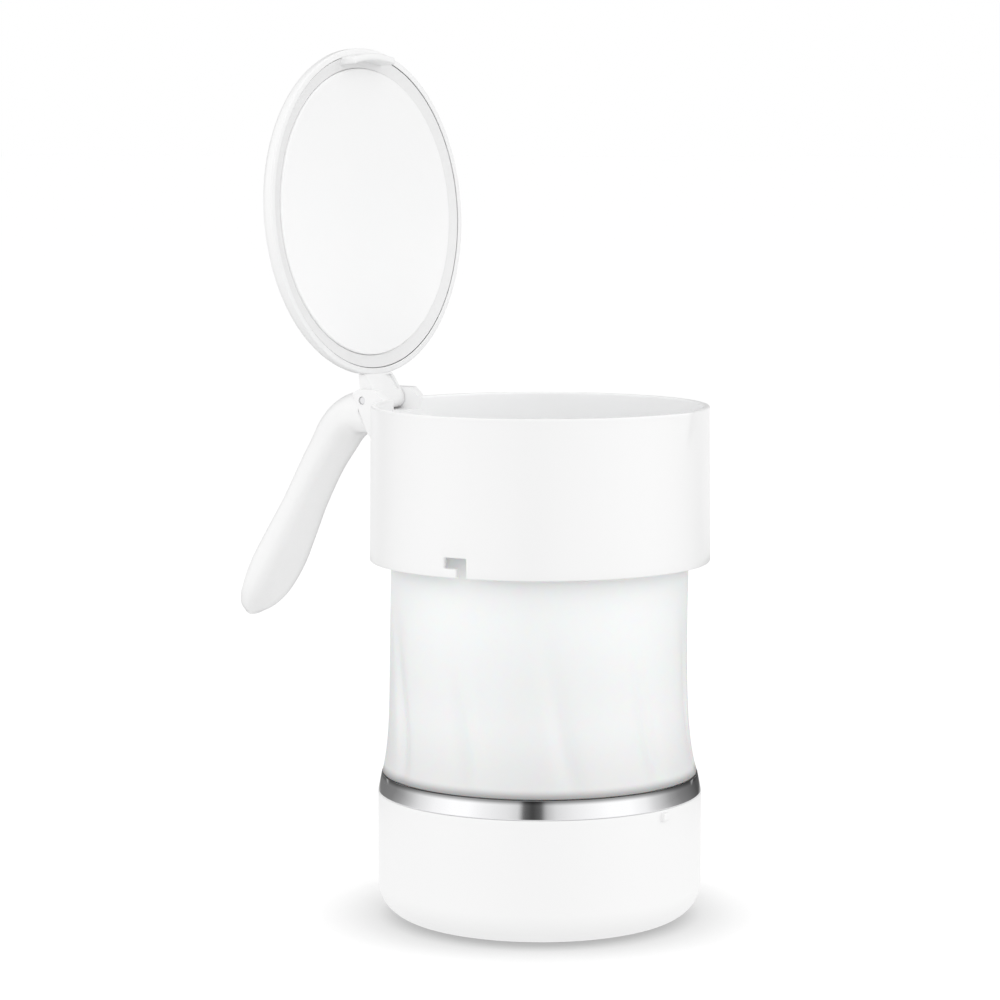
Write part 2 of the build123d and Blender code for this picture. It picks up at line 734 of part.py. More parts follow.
# Lid shell: crown, skirt, the catch that dips into the pouring lip, and the channelled neck with
# the hinge knuckle at its end.
with BuildPart() as lid_shell:
    with BuildSketch(lid_section):
        with BuildLine():
            shoulder = ThreePointArc(
                (lid_radius, lid_edge_height),
                (
                    (lid_radius + lid_crown_radius) / 2 + lid_wall / 3,
                    (lid_edge_height + lid_shoulder_height) / 2 + lid_wall / 3,
                ),
                (lid_crown_radius, lid_shoulder_height),
            )
            Polyline(
                (lid_crown_radius, lid_shoulder_height),
                (0, lid_crown_height),
                (0, lid_crown_height - lid_wall),
                (lid_crown_radius, lid_shoulder_height - lid_wall),
            )
            ThreePointArc(
                (lid_crown_radius, lid_shoulder_height - lid_wall),
                (
                    (lid_inner_radius + lid_crown_radius) / 2 + lid_wall / 3,
                    (lid_edge_height + lid_shoulder_height - lid_wall) / 2,
                ),
                (lid_inner_radius, lid_edge_height - lid_wall / 2),
            )
            Polyline(
                (lid_inner_radius, lid_edge_height - lid_wall / 2),
                (lid_inner_radius, 0),
                (lid_radius, 0),
                (lid_radius, lid_edge_height),
            )
        make_face()
    revolve(axis=lid_axis)
    with BuildSketch(lid_plane.offset(-catch_depth)):
        with Locations((lid_radius, 0)):
            Rectangle(2 * lid_wall + 4 * catch_thickness, catch_width)
        Circle(catch_radius, mode=Mode.INTERSECT)
        Circle(catch_radius - catch_thickness, mode=Mode.SUBTRACT)
    extrude(amount=catch_depth + seal_depth - seat_gap)
    with BuildSketch(lid_plane):
        with Locations((lid_radius, 0)):
            Rectangle(2 * lid_wall + 4 * catch_thickness, catch_width)
        Circle(lid_inner_radius + root, mode=Mode.INTERSECT)
        Circle(catch_radius - catch_thickness, mode=Mode.SUBTRACT)
    extrude(amount=seal_depth - seat_gap)
    extrude(neck_outline(0), amount=neck_width / 2, both=True)
    with BuildSketch(lid_side):
        Polygon(
            (pin_radius + neck_wall, -2 * knuckle_radius),
            (skirt_root - root - lid_wall / 4, -2 * knuckle_radius),
            (skirt_root - root - lid_wall / 4, lid_offset + lid_edge_height - neck_web + lid_wall / 2),
            (pin_radius + neck_wall, knuckle_radius - neck_web),
            align=None,
        )
    extrude(amount=neck_width / 2 - neck_wall, both=True, mode=Mode.SUBTRACT)
    with BuildSketch(lid_side):
        Circle(pin_radius + pin_clearance)
    extrude(amount=neck_width, both=True, mode=Mode.SUBTRACT)
lid_shell.part.label = "lid_shell"
export_step(lid_shell.part, "parts/lid_shell.step")

# Inner disc of the lid, a shallow dish fixed under the crown
disc_rim_top = lid_shoulder_height - lid_wall - seat_gap
with BuildPart() as lid_disc:
    with BuildSketch(lid_section):
        Polygon(
            (0, disc_depth),
            (disc_radius, disc_depth),
            (disc_radius, disc_rim_top),
            (disc_radius - disc_thickness, disc_rim_top),
            (disc_radius - disc_thickness, disc_depth + disc_thickness),
            (0, disc_depth + disc_thickness),
            align=None,
        )
    revolve(axis=lid_axis)
lid_disc.part.label = "lid_disc"
export_step(lid_disc.part, "parts/lid_disc.step")

# Seal, a silicone ring at the bottom of the groove that keeps water out of the hollow lid
seal_inner_radius = disc_radius + seat_gap
seal_outer_radius = lid_inner_radius - seal_clearance
with BuildPart() as lid_seal:
    with BuildSketch(lid_section):
        Polygon(
            (seal_inner_radius, seal_depth),
            (seal_outer_radius, seal_depth),
            (seal_outer_radius - seal_bevel, seal_depth + seal_thickness),
            (seal_inner_radius, seal_depth + seal_thickness),
            align=None,
        )
    revolve(axis=lid_axis)
lid_seal.part.label = "lid_seal"
export_step(lid_seal.part, "parts/lid_seal.step")
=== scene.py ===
import json
from math import acos, asin, copysign, cos, pi, radians, sin, sqrt, tan
from types import SimpleNamespace as Named

import bmesh
import bpy
from mathutils import Matrix, Vector


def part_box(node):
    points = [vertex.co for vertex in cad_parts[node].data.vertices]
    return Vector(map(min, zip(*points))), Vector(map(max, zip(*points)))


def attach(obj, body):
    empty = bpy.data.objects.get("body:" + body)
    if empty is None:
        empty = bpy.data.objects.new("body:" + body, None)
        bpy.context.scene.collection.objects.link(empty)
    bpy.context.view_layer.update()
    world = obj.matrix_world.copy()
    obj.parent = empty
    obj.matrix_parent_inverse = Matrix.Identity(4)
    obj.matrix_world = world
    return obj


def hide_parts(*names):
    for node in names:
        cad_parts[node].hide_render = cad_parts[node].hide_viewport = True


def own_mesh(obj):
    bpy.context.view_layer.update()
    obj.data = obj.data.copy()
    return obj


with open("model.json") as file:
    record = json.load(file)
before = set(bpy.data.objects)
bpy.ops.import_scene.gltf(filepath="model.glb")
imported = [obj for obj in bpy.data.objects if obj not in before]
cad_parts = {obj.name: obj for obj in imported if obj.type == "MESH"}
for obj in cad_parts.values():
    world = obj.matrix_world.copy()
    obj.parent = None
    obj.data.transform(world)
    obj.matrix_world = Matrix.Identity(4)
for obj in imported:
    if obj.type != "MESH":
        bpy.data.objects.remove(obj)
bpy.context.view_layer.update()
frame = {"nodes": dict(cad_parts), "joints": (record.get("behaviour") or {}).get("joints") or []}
nodes = frame["nodes"]
joints = {joint["name"]: joint for joint in frame["joints"]}
mm = 0.001
print("frame loaded:", len(nodes), "nodes")

# ---- camera

cameraView = {
    "lens": 118.44,
    "distance": 1.2,
    "height": 0.287,
    "azimuth": 32.7,
    "swing": 33.4,
    "tilt": 6.31,
}


def addObject(name, data):
    made = bpy.data.objects.new(name, data)
    bpy.context.scene.collection.objects.link(made)
    return made


def addCamera(its):
    camera = addObject("camera", bpy.data.cameras.new("camera"))
    turn = radians(its.azimuth)
    camera.location = (its.distance * sin(turn), -its.distance * cos(turn), its.height)
    camera.rotation_euler = (radians(90 - its.tilt), 0, radians(its.swing))
    camera.data.lens = its.lens
    camera.data.sensor_width = 36
    camera.data.clip_end = 50
    bpy.context.scene.camera = camera


addCamera(Named(**cameraView))

# ---- node trees


# a node tree, with short names for adding its nodes and joining them
class Tree:
    def __init__(self, own):
        self.own = own

    def link(self, source, socket):
        if isinstance(source, bpy.types.NodeSocket):
            self.own.links.new(source, socket)
        else:
            socket.default_value = source

    def add(self, kind, inputs=(), **settings):
        node = self.own.nodes.new(kind)
        for key, value in settings.items():
            setattr(node, key, value)
        for key, source in dict(inputs).items():
            self.link(source, node.inputs[key])
        return node

    def calc(self, operation, *values, clamp=False):
        inputs = dict(enumerate(values))
        return self.add("ShaderNodeMath", inputs, operation=operation, use_clamp=clamp).outputs[0]

    def times(self, result, *others):
        for other in others:
            result = self.calc("MULTIPLY", result, other)
        return result

    def plus(self, result, *others):
        for other in others:
            result = self.calc("ADD", result, other)
        return result

    def spread(self, source, fromLow, fromHigh, toLow=0.0, toHigh=1.0, smooth=False):
        inputs = dict(enumerate((source, fromLow, fromHigh, toLow, toHigh)))
        kind = "SMOOTHSTEP" if smooth else "LINEAR"
        return self.add("ShaderNodeMapRange", inputs, interpolation_type=kind).outputs[0]

    def split(self, vector):
        return self.add("ShaderNodeSeparateXYZ", {0: vector}).outputs

    def join(self, x, y, z):
        return self.add("ShaderNodeCombineXYZ", {0: x, 1: y, 2: z}).outputs[0]

    def mix(self, share, first, second, **settings):
        inputs = {0: share, 6: first, 7: second}
        return self.add("ShaderNodeMix", inputs, data_type="RGBA", **settings).outputs[2]

    def either(self, share, first, second):
        return self.add("ShaderNodeMixShader", {0: share, 1: first, 2: second}).outputs[0]

    def glow(self, kind, strength, colour=(1, 1, 1, 1)):
        return self.add(kind, {"Color": colour, "Strength": strength}).outputs[0]


# inputs give each label its value, and outputs give each label its kind
def newTree(name, kind, inputs, outputs):
    own = bpy.data.node_groups.new(name, kind)
    kinds = {type(None): "Vector", tuple: "Color", float: "Float", int: "Int"}
    for label, value in inputs.items():
        socketKind = "NodeSocket" + kinds[type(value)]
        socket = own.interface.new_socket(name=label, in_out="INPUT", socket_type=socketKind)
        if value is not None:
            socket.default_value = value
    for label, shown in outputs.items():
        own.interface.new_socket(name=label, in_out="OUTPUT", socket_type="NodeSocket" + shown)
    return Tree(own), own.nodes.new("NodeGroupInput").outputs, own.nodes.new("NodeGroupOutput").inputs


# ---- finishes


# slow drift of tone and gloss over a moulding, with a fine grain
def makeMouldedSkin():
    inputs = {"Vector": None, "Tone": (1, 1, 1, 1), "Drift Tone": (0.9, 0.9, 0.9, 1)}
    inputs |= {"Drift Scale": 14.0, "Grain Scale": 1600.0, "Gloss Low": 0.25, "Gloss High": 0.35}
    outputs = {"Colour": "Color", "Roughness": "Float", "Height": "Float"}
    tree, given, put = newTree("mouldedSkin", "ShaderNodeTree", inputs, outputs)
    drift, grain = [
        tree.add(
            "ShaderNodeTexNoise",
            {"Vector": given["Vector"], "Scale": given[scale], "Detail": detail, "Roughness": rough},
        ).outputs["Fac"]
        for scale, detail, rough in (("Drift Scale", 2.0, 0.4), ("Grain Scale", 1.0, 0.5))
    ]
    share = tree.spread(drift, 0.3, 0.7, smooth=True)
    gloss = tree.spread(drift, 0.25, 0.75, given["Gloss Low"], given["Gloss High"], smooth=True)
    tree.link(tree.mix(share, given["Tone"], given["Drift Tone"]), put["Colour"])
    tree.link(gloss, put["Roughness"])
    tree.link(grain, put["Height"])
    return tree.own


# faint wipe marks and smears that only show in a gloss
def makeWipeMarks():
    inputs = {"Vector": None, "Along": 40.0, "Across": 900.0, "Gloss Low": 0.04, "Gloss High": 0.09}
    outputs = {"Roughness": "Float", "Height": "Float"}
    tree, given, put = newTree("wipeMarks", "ShaderNodeTree", inputs, outputs)
    x, y, z = tree.split(given["Vector"])
    turn = tree.calc("ARCTAN2", y, x)
    along = tree.calc("DIVIDE", given["Along"], 20.0)
    stretched = tree.join(
        tree.times(tree.calc("SINE", turn), along),
        tree.times(tree.calc("COSINE", turn), along),
        tree.times(z, given["Across"]),
    )
    noise = {"Vector": stretched, "Scale": 1.0, "Detail": 3.0, "Roughness": 0.6}
    marks = tree.add("ShaderNodeTexNoise", noise).outputs["Fac"]
    tree.link(tree.spread(marks, 0.3, 0.7, given["Gloss Low"], given["Gloss High"]), put["Roughness"])
    tree.link(marks, put["Height"])
    return tree.own


mouldedSkin = makeMouldedSkin()
wipeMarks = makeWipeMarks()


def startFinish(name, plain):
    material = bpy.data.materials.new(name)
    material.use_nodes = True
    tree = Tree(material.node_tree)
    shader = tree.own.nodes["Principled BSDF"].inputs
    for socket, value in plain.items():
        shader[socket].default_value = value
    return material, tree, shader, tree.add("ShaderNodeTexCoord").outputs["Object"]


def wearSkin(tree, shader, skin, bump, depth):
    tree.link(skin["Roughness"], shader["Roughness"])
    raised = {"Strength": bump, "Distance": depth, "Height": skin["Height"]}
    tree.link(tree.add("ShaderNodeBump", raised).outputs[0], shader["Normal"])


def grey(level):
    return (level, level, level, 1)


def addMoulded(name, tone, driftTone, gloss, grain=1600.0, bump=0.05, depth=0.00005, plain=()):
    material, tree, shader, spot = startFinish(name, dict(plain))
    given = {"Vector": spot, "Tone": tone, "Drift Tone": driftTone, "Grain Scale": grain}
    given |= {"Gloss Low": gloss[0], "Gloss High": gloss[1]}
    skin = tree.add("ShaderNodeGroup", given, node_tree=mouldedSkin).outputs
    tree.link(skin["Colour"], shader["Base Color"])
    wearSkin(tree, shader, skin, bump, depth)
    return material


# darkens a finish towards a height, for contact shade and for light from behind that fails there
def addShade(material, darkest, clear, level):
    tree = Tree(material.node_tree)
    colour = tree.own.nodes["Principled BSDF"].inputs["Base Color"]
    source = colour.links[0].from_socket if colour.links else tuple(colour.default_value)
    height = tree.split(tree.add("ShaderNodeTexCoord").outputs["Object"])[2]
    shade = tree.spread(height, darkest, clear, level, 1.0, smooth=True)
    tone = tree.add("ShaderNodeCombineColor", {0: shade, 1: shade, 2: shade}).outputs[0]
    tree.link(tree.mix(1.0, source, tone, blend_type="MULTIPLY"), colour)


def addMetal(name, tone, along, across, gloss, bump):
    material, tree, shader, spot = startFinish(name, {"Metallic": 1.0, "Base Color": tone})
    given = {"Vector": spot, "Along": along, "Across": across}
    given |= {"Gloss Low": gloss[0], "Gloss High": gloss[1]}
    marks = tree.add("ShaderNodeGroup", given, node_tree=wipeMarks).outputs
    wearSkin(tree, shader, marks, bump, 0.00002)
    return material


dull = {"Specular IOR Level": 0.35}
whitePlastic = addMoulded("whitePlastic", grey(0.893), grey(0.903), (0.285, 0.33), plain=dull)
# painted light: a lighter copy of the white plastic, for faces inside the collar that its hollow shades
paintedLightPlastic = addMoulded("paintedLightPlastic", grey(0.98), grey(0.985), (0.28, 0.35))
coarse = {"grain": 1100.0, "bump": 0.12}
innerPlastic = addMoulded("innerPlastic", grey(0.92), grey(0.935), (0.38, 0.48), **coarse)
# painted light and shade on the lid's disc: a lighter copy of the inner plastic, with painted shade darkening
# it towards its top so its lower part looks lit from below
paintedLightDiscPlastic = addMoulded("paintedLightDiscPlastic", grey(0.98), grey(0.985), (0.38, 0.48), **coarse)
addShade(paintedLightDiscPlastic, 0.325, 0.205, 0.92)
insertTones = ((0.89, 0.895, 0.9, 1), (0.9, 0.905, 0.91, 1))
insertPlastic = addMoulded("insertPlastic", *insertTones, (0.36, 0.46), **coarse)
milky = {"Subsurface Weight": 0.3, "Subsurface Scale": 0.002, "Sheen Weight": 0.04}
soft = {"grain": 1300.0, "bump": 0.1, "plain": milky}
# the sleeve's base tone is lighter than the silicone's own: painted light that keeps its top bright under the
# collar's overhang
sleeveSilicone = addMoulded("sleeveSilicone", grey(0.945), grey(0.955), (0.36, 0.46), **soft)
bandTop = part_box("chrome_band")[1].z
# painted shade on the sleeve: darker below its upper part, darker again towards the chrome band, and a
# painted contact shadow in the last few millimetres above the band
sleeveShades = ((0.088, 0.128, 0.92), (bandTop, 0.082, 0.89), (bandTop, bandTop + 0.0038, 0.42))
for shadeValues in sleeveShades:
    addShade(sleeveSilicone, *shadeValues)
cloudy = {"Subsurface Weight": 0.2, "Subsurface Scale": 0.001}
bristleTones = ((0.87, 0.885, 0.895, 1), (0.885, 0.9, 0.91, 1))
bristleSilicone = addMoulded("bristleSilicone", *bristleTones, (0.38, 0.5), plain=cloudy)
# the seal's grey is partly its own colour and partly painted shade, darkened to the tone of the shaded groove
# round the lid's disc
sealSiliconeAndShade = addMoulded("sealSiliconeAndShade", grey(0.83), grey(0.84), (0.42, 0.52), bump=0.1)
rough = {"grain": 900.0, "bump": 0.35, "depth": 0.0001}
padRubber = addMoulded("padRubber", grey(0.11), grey(0.13), (0.62, 0.75), **rough)
chrome = addMetal("chrome", (0.83, 0.83, 0.84, 1), 60.0, 1500.0, (0.035, 0.07), 0.03)
# painted shade: the chrome darkens just below its top edge, a painted dark reflection of the shaded seam
# under the sleeve
addShade(chrome, bandTop - 0.0002, bandTop - 0.0019, 0.33)
steel = addMetal("steel", (0.74, 0.74, 0.75, 1), 60.0, 2500.0, (0.29, 0.36), 0.15)
print("finishes made")

# ---- meshes


def addPiece(name, bm, finish):
    bmesh.ops.remove_doubles(bm, verts=bm.verts, dist=1e-7)
    bmesh.ops.recalc_face_normals(bm, faces=bm.faces)
    mesh = bpy.data.meshes.new(name)
    bm.to_mesh(mesh)
    bm.free()
    piece = addObject(name, mesh)
    mesh.materials.append(finish)
    smoothPiece(piece)
    return piece


def smoothPiece(piece, sharp=38):
    piece.data.shade_smooth()
    piece.data.set_sharp_from_angle(angle=radians(sharp))


# turns modifiers into plain mesh
def bakeModifiers(piece):
    depsgraph = bpy.context.evaluated_depsgraph_get()
    mesh = bpy.data.meshes.new_from_object(piece.evaluated_get(depsgraph))
    piece.modifiers.clear()
    piece.data = mesh
    return piece


def combine(piece, tool, operation="DIFFERENCE"):
    cut = piece.modifiers.new("cut", "BOOLEAN")
    cut.operation = operation
    cut.solver = "EXACT"
    cut.object = tool
    bakeModifiers(piece)
    bpy.data.objects.remove(tool)


def softenEdges(piece, width, segments=3, angle=50):
    bevel = piece.modifiers.new("bevel", "BEVEL")
    bevel.width = width
    bevel.segments = segments
    bevel.limit_method = "ANGLE"
    bevel.angle_limit = radians(angle)
    bevel.miter_outer = "MITER_ARC"
    bakeModifiers(piece)
    smoothPiece(piece, 42)


# a closed outline with each corner (x, y, radius) turned into an arc, and a point close to each
# end of the arc that keeps the flats beside it flat
def roundedOutline(corners, steps=4, hold=0.15):
    points = []
    for index, (x, y, radius) in enumerate(corners):
        here = Vector((x, y))
        toBefore = Vector(corners[index - 1][:2]) - here
        toAfter = Vector(corners[(index + 1) % len(corners)][:2]) - here
        angle = toBefore.angle(toAfter)
        if radius <= 0 or angle > radians(176):
            points.append(here)
            continue
        reach = radius / tan(angle / 2)
        limit = 0.48 * min(toBefore.length, toAfter.length)
        if reach > limit:
            radius *= limit / reach
            reach = limit
        held = reach + hold < limit
        toBefore.normalize()
        toAfter.normalize()
        centre = here + (toBefore + toAfter).normalized() * radius / sin(angle / 2)
        first = here + toBefore * reach - centre
        sweep = first.angle_signed(here + toAfter * reach - centre)
        if held:
            points.append(here + toBefore * (reach + hold))
        for step in range(steps + 1):
            turned = first.copy()
            turned.rotate(Matrix.Rotation(-sweep * step / steps, 2))
            points.append(centre + turned)
        if held:
            points.append(here + toAfter * (reach + hold))
    return points


def arcPoints(centreX, centreY, radius, fromAngle, toAngle, steps):
    points = []
    for step in range(steps + 1):
        angle = radians(fromAngle + (toAngle - fromAngle) * step / steps)
        points.append((centreX + radius * cos(angle), centreY + radius * sin(angle), 0))
    return points


def circle(centreX, centreY, radius):
    return arcPoints(centreX, centreY, radius, 0, 345, 23)


# a vertex at a radius and height in millimetres, and an angle round the z axis
def polarVert(bm, radius, angle, height):
    away = radius * mm
    return bm.verts.new((away * cos(angle), away * sin(angle), height * mm))


# spins a closed outline of (radius, height) in millimetres about the axis of place;
# an outline that also gives each corner a rounding has its corners rounded first
def addTurned(name, outline, finish, place=None, segments=192, steps=4):
    bm = bmesh.new()
    if len(outline[0]) == 3:
        outline = roundedOutline(outline, steps)
    rings = []
    for radius, height in outline:
        if radius < 1e-6:
            rings.append([bm.verts.new((0, 0, height * mm))])
            continue
        angles = [2 * pi * index / segments for index in range(segments)]
        rings.append([polarVert(bm, radius, angle, height) for angle in angles])
    for number, ring in enumerate(rings):
        other = rings[(number + 1) % len(rings)]
        if len(ring) == 1 and len(other) == 1:
            continue
        for index in range(segments):
            after = (index + 1) % segments
            spots = ((ring, index), (ring, after), (other, after), (other, index))
            bm.faces.new(list(dict.fromkeys(verts[spot % len(verts)] for verts, spot in spots)))
    if place is not None:
        bm.transform(place)
    return addPiece(name, bm, finish)


def joinRings(bm, first, second):
    for index in range(len(first)):
        after = (index + 1) % len(first)
        bm.faces.new((first[index], first[after], second[after], second[index]))


# pushes a closed outline of (x, z) in millimetres out to both sides along y
def addPrism(name, outline, halfWidth, place=None, finish=whitePlastic):
    bm = bmesh.new()
    sides = []
    for y in (-halfWidth, halfWidth):
        sides.append([bm.verts.new((x * mm, y * mm, z * mm)) for x, z, *_ in outline])
    bm.faces.new(sides[0])
    bm.faces.new(sides[1])
    joinRings(bm, *sides)
    if place is not None:
        bm.transform(place)
    return addPiece(name, bm, finish)


def finishNode(name, finish):
    for materialSlot in nodes[name].material_slots:
        materialSlot.material = finish


def place(piece, body, slot, node):
    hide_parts(node)
    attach(piece, body)


# ---- base

baseValues = {
    "wall": 2.4,
    "round": 12.0,
    "roundSteps": 20,
    "landWidth": 1.2,
    "edgeRound": 0.5,
    "lugWidth": 2.8,
    "lugHeight": 3.0,
    "lugReach": 1.5,
    "lugDrop": 0.9,
    "lugRoot": 0.6,
    "lugAngle": -9.0,
    "ledgeTop": 1.8,
    "ledgeReach": 2.3,
    "ledgeBottom": 3.3,
    "ledgeFoot": 5.6,
    "coverLand": 3.0,
    "coverRoom": 1.2,
}


def millimetres(node):
    low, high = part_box(node)
    return low / mm, high / mm


baseLow, baseHigh = millimetres("base_shell")
bandLow, bandHigh = millimetres("chrome_band")
baseRadius = (bandHigh.y - bandLow.y) / 2


def makeBase(its):
    radius = baseRadius
    top = baseHigh.z
    foot = baseLow.z
    inner = radius - its.wall
    centreRadius = radius - its.round
    centreHeight = foot + its.round
    rebate = centreRadius - its.landWidth
    steps = its.roundSteps
    corners = arcPoints(centreRadius, centreHeight, its.round, -90, 0, steps)
    ledge = inner - its.ledgeReach
    corners += [(radius, top, its.edgeRound), (inner, top, 0.3), (inner, top - its.ledgeTop, 0)]
    corners += [(ledge, top - its.ledgeTop, 0), (ledge, top - its.ledgeBottom, 0)]
    corners += [(inner, top - its.ledgeFoot, 0)]
    corners += arcPoints(centreRadius, centreHeight, its.round - its.wall, 0, -90, steps)
    land, room = rebate - its.coverLand, foot + its.coverRoom
    corners += [(land, foot + its.wall, 0), (land, room, 0.2), (rebate, room, 0), (rebate, foot, 0.3)]
    shell = addTurned("baseShell", corners, whitePlastic, segments=256)
    root, tip, high = radius - its.lugRoot, radius + its.lugReach, top - its.lugDrop
    low = high - its.lugHeight
    outline = roundedOutline([(root, low, 0), (tip, low, 0.6), (tip, high, 0.6), (root, high, 0)])
    for turn in (0, 180):
        facing = Matrix.Rotation(radians(its.lugAngle + turn), 4, "Z")
        lug = addPrism("lug", outline, its.lugWidth / 2, facing)
        softenEdges(lug, 0.0004, angle=32)
        combine(shell, lug, "UNION")
    smoothPiece(shell)
    place(shell, "base", "white_plastic", "base_shell")


makeBase(Named(**baseValues))

bowlValues = {"wall": 1.8, "inset": 6.7, "floor": 14.0, "round": 9.0, "flange": 1.7}


def makeBowl(its):
    low, high = millimetres("base_bowl")
    radius, wide = baseRadius - its.inset, (high.x - low.x) / 2
    top, under, floor = high.z, high.z - its.flange, its.floor
    centre = (radius - its.round, floor + its.round)
    corners = arcPoints(*centre, its.round, -90, 0, 12)
    corners += [(radius, top, 0.3), (wide, top, 0), (wide, under, 0), (radius + its.wall, under, 0)]
    corners += arcPoints(*centre, its.round + its.wall, 0, -90, 12)
    corners += [(0, floor - its.wall, 0), (0, floor, 0)]
    bowl = addTurned("baseBowl", corners, innerPlastic, segments=160)
    place(bowl, "base", "inner_plastic", "base_bowl")


makeBowl(Named(**bowlValues))

coverValues = {
    "flange": 1.1,
    "rimWidth": 1.3,
    "padGap": 0.1,
    "grooves": (12.0, 22.0, 32.0),
    "grooveDepth": 0.4,
    "grooveWidth": 1.2,
}


def makeUnderside(its):
    low, high = millimetres("base_cover")
    padLow, padHigh = millimetres("base_pad")
    wide = (high.x - low.x) / 2
    padRadius = (padHigh.x - padLow.x) / 2
    room, flange = padRadius + its.padGap, low.z + its.flange
    rim = room + its.rimWidth
    corners = [(room, low.z, 0.3), (wide, low.z, 0.3), (wide, flange, 0), (rim, flange, 0)]
    corners += [(rim, high.z, 0), (0, high.z, 0), (0, padHigh.z, 0), (room, padHigh.z, 0)]
    cover = addTurned("baseCover", corners, innerPlastic, segments=128)
    place(cover, "base", "inner_plastic", "base_cover")
    corners = [(0, padHigh.z, 0), (0, 0, 0)]
    for groove in its.grooves:
        end, depth = groove + its.grooveWidth, its.grooveDepth
        corners += [(groove, 0, 0.15), (groove, depth, 0.15), (end, depth, 0.15), (end, 0, 0.15)]
    corners += [(padRadius, 0, 0.35), (padRadius, padHigh.z, 0)]
    pad = addTurned("basePad", corners, padRubber, segments=128)
    place(pad, "base", "pad_rubber", "base_pad")


makeUnderside(Named(**coverValues))

bandValues = {
    "draw": 1.4,
    "thickness": 0.8,
    "edgeRound": 0.35,
    "ringStep": 57.1,
    "ringInside": 55.8,
    "ringStepHeight": 2.65,
}


def makeBand(its):
    bottom, top = bandLow.z, bandHigh.z
    drawn = baseRadius - its.draw
    corners = [(baseRadius - its.thickness, bottom, 0), (baseRadius, bottom, its.edgeRound)]
    corners += [(drawn, top, its.edgeRound), (drawn - its.thickness, top, 0.2)]
    band = addTurned("chromeBand", corners, chrome, segments=320, steps=6)
    place(band, "base", "chrome", "chrome_band")
    low, high = millimetres("lower_clamp_ring")
    outer, step = (high.x - low.x) / 2, low.z + its.ringStepHeight
    corners = [(its.ringStep, low.z, 0), (outer, low.z, 0), (outer - its.draw, high.z, 0.2)]
    corners += [(its.ringInside, high.z, 0.3), (its.ringInside, step, 0), (its.ringStep, step, 0)]
    ring = addTurned("lowerClampRing", corners, innerPlastic, segments=192)
    place(ring, "base", "inner_plastic", "lower_clamp_ring")


makeBand(Named(**bandValues))
print("base made")

# ---- sleeve

sleeveValues = {
    "Waist Radius": 0.0546,
    "Flare": 0.0036,
    "Flare Length": 0.013,
    "Tuck": 0.0021,
    "Tuck Height": 0.0008,
    "Bow": 0.0005,
    "Bow Turn": 213.0,
    "Reach": 0.0786,
    "Pleats": 10.0,
    "Pleat Depth": 0.0016,
    "Pleat Sharpness": 8.0,
    "Pleat Start": -8.4,
    "Pleat Lean": -200.0,
    "Around": 400,
    "Up": 110,
}
sleeveWall = 0.0012


# pleats lean round the axis and are deepest low down
def makeSleeveTree(finish):
    counts = {"Around": 64, "Up": 32}
    labels = [key for key in sleeveValues if key not in counts] + ["Bottom", "Top", "Band Top"]
    inputs = {label: 0.0 for label in labels} | counts
    tree, given, put = newTree("pleatedSleeve", "GeometryNodeTree", inputs, {"Geometry": "Geometry"})
    sheet = {"Size X": 1.0, "Size Y": 1.0, "Vertices X": given["Around"], "Vertices Y": given["Up"]}
    grid = tree.add("GeometryNodeMeshGrid", sheet).outputs[0]
    across, along, _ = tree.split(tree.add("GeometryNodeInputPosition").outputs[0])
    turn = tree.times(tree.plus(across, 0.5), 2 * pi)
    height = tree.spread(along, -0.5, 0.5, given["Bottom"], given["Top"])
    above = tree.calc("SUBTRACT", height, given["Band Top"])
    share = tree.calc("DIVIDE", above, given["Reach"], clamp=True)
    swell = tree.calc("SINE", tree.times(tree.calc("POWER", share, 0.45), pi))
    depth = tree.times(swell, swell, given["Pleat Depth"])
    lean = tree.calc("MULTIPLY_ADD", above, given["Pleat Lean"], given["Pleat Start"])
    leant = tree.calc("SUBTRACT", turn, tree.calc("RADIANS", lean))
    wave = tree.calc("COSINE", tree.times(leant, given["Pleats"]))
    crease = tree.calc("POWER", tree.calc("MULTIPLY_ADD", wave, 0.5, 0.5), given["Pleat Sharpness"])
    below = tree.times(tree.calc("MAXIMUM", above, 0.0), -1.0)
    fall = tree.calc("EXPONENT", tree.calc("DIVIDE", below, given["Flare Length"]))
    tuck = tree.spread(above, tree.times(given["Tuck Height"], -1.0), 0.0, given["Tuck"], 0.0)
    sag = tree.calc("SINE", tree.times(share, pi))
    side = tree.calc("COSINE", tree.calc("SUBTRACT", turn, tree.calc("RADIANS", given["Bow Turn"])))
    flare, bow = tree.times(given["Flare"], fall), tree.times(sag, side, given["Bow"])
    wall = tree.plus(given["Waist Radius"], flare, bow)
    radius = tree.calc("SUBTRACT", wall, tree.calc("MULTIPLY_ADD", depth, crease, tuck))
    x, y = (tree.times(radius, tree.calc(part, turn)) for part in ("COSINE", "SINE"))
    rolled = {"Geometry": grid, "Position": tree.join(x, y, height)}
    moved = tree.add("GeometryNodeSetPosition", rolled).outputs[0]
    closed = tree.add("GeometryNodeMergeByDistance", {"Geometry": moved, "Distance": 1e-6}).outputs[0]
    return endTree(tree, closed, finish, put)


def endTree(tree, geometry, finish, put):
    whole = tree.add("GeometryNodeRealizeInstances", {"Geometry": geometry}).outputs[0]
    painted = tree.add("GeometryNodeSetMaterial", {"Geometry": whole, "Material": finish})
    tree.link(painted.outputs[0], put["Geometry"])
    return tree.own


# builds a mesh from a tree and its values, and leaves no modifier on it
def growPiece(name, tree, values):
    piece = addObject(name, bpy.data.meshes.new(name))
    modifier = piece.modifiers.new(name, "NODES")
    modifier.node_group = tree
    for item in tree.interface.items_tree:
        if item.item_type == "SOCKET" and item.in_out == "INPUT" and item.name in values:
            modifier[item.identifier] = values[item.name]
    return bakeModifiers(piece)


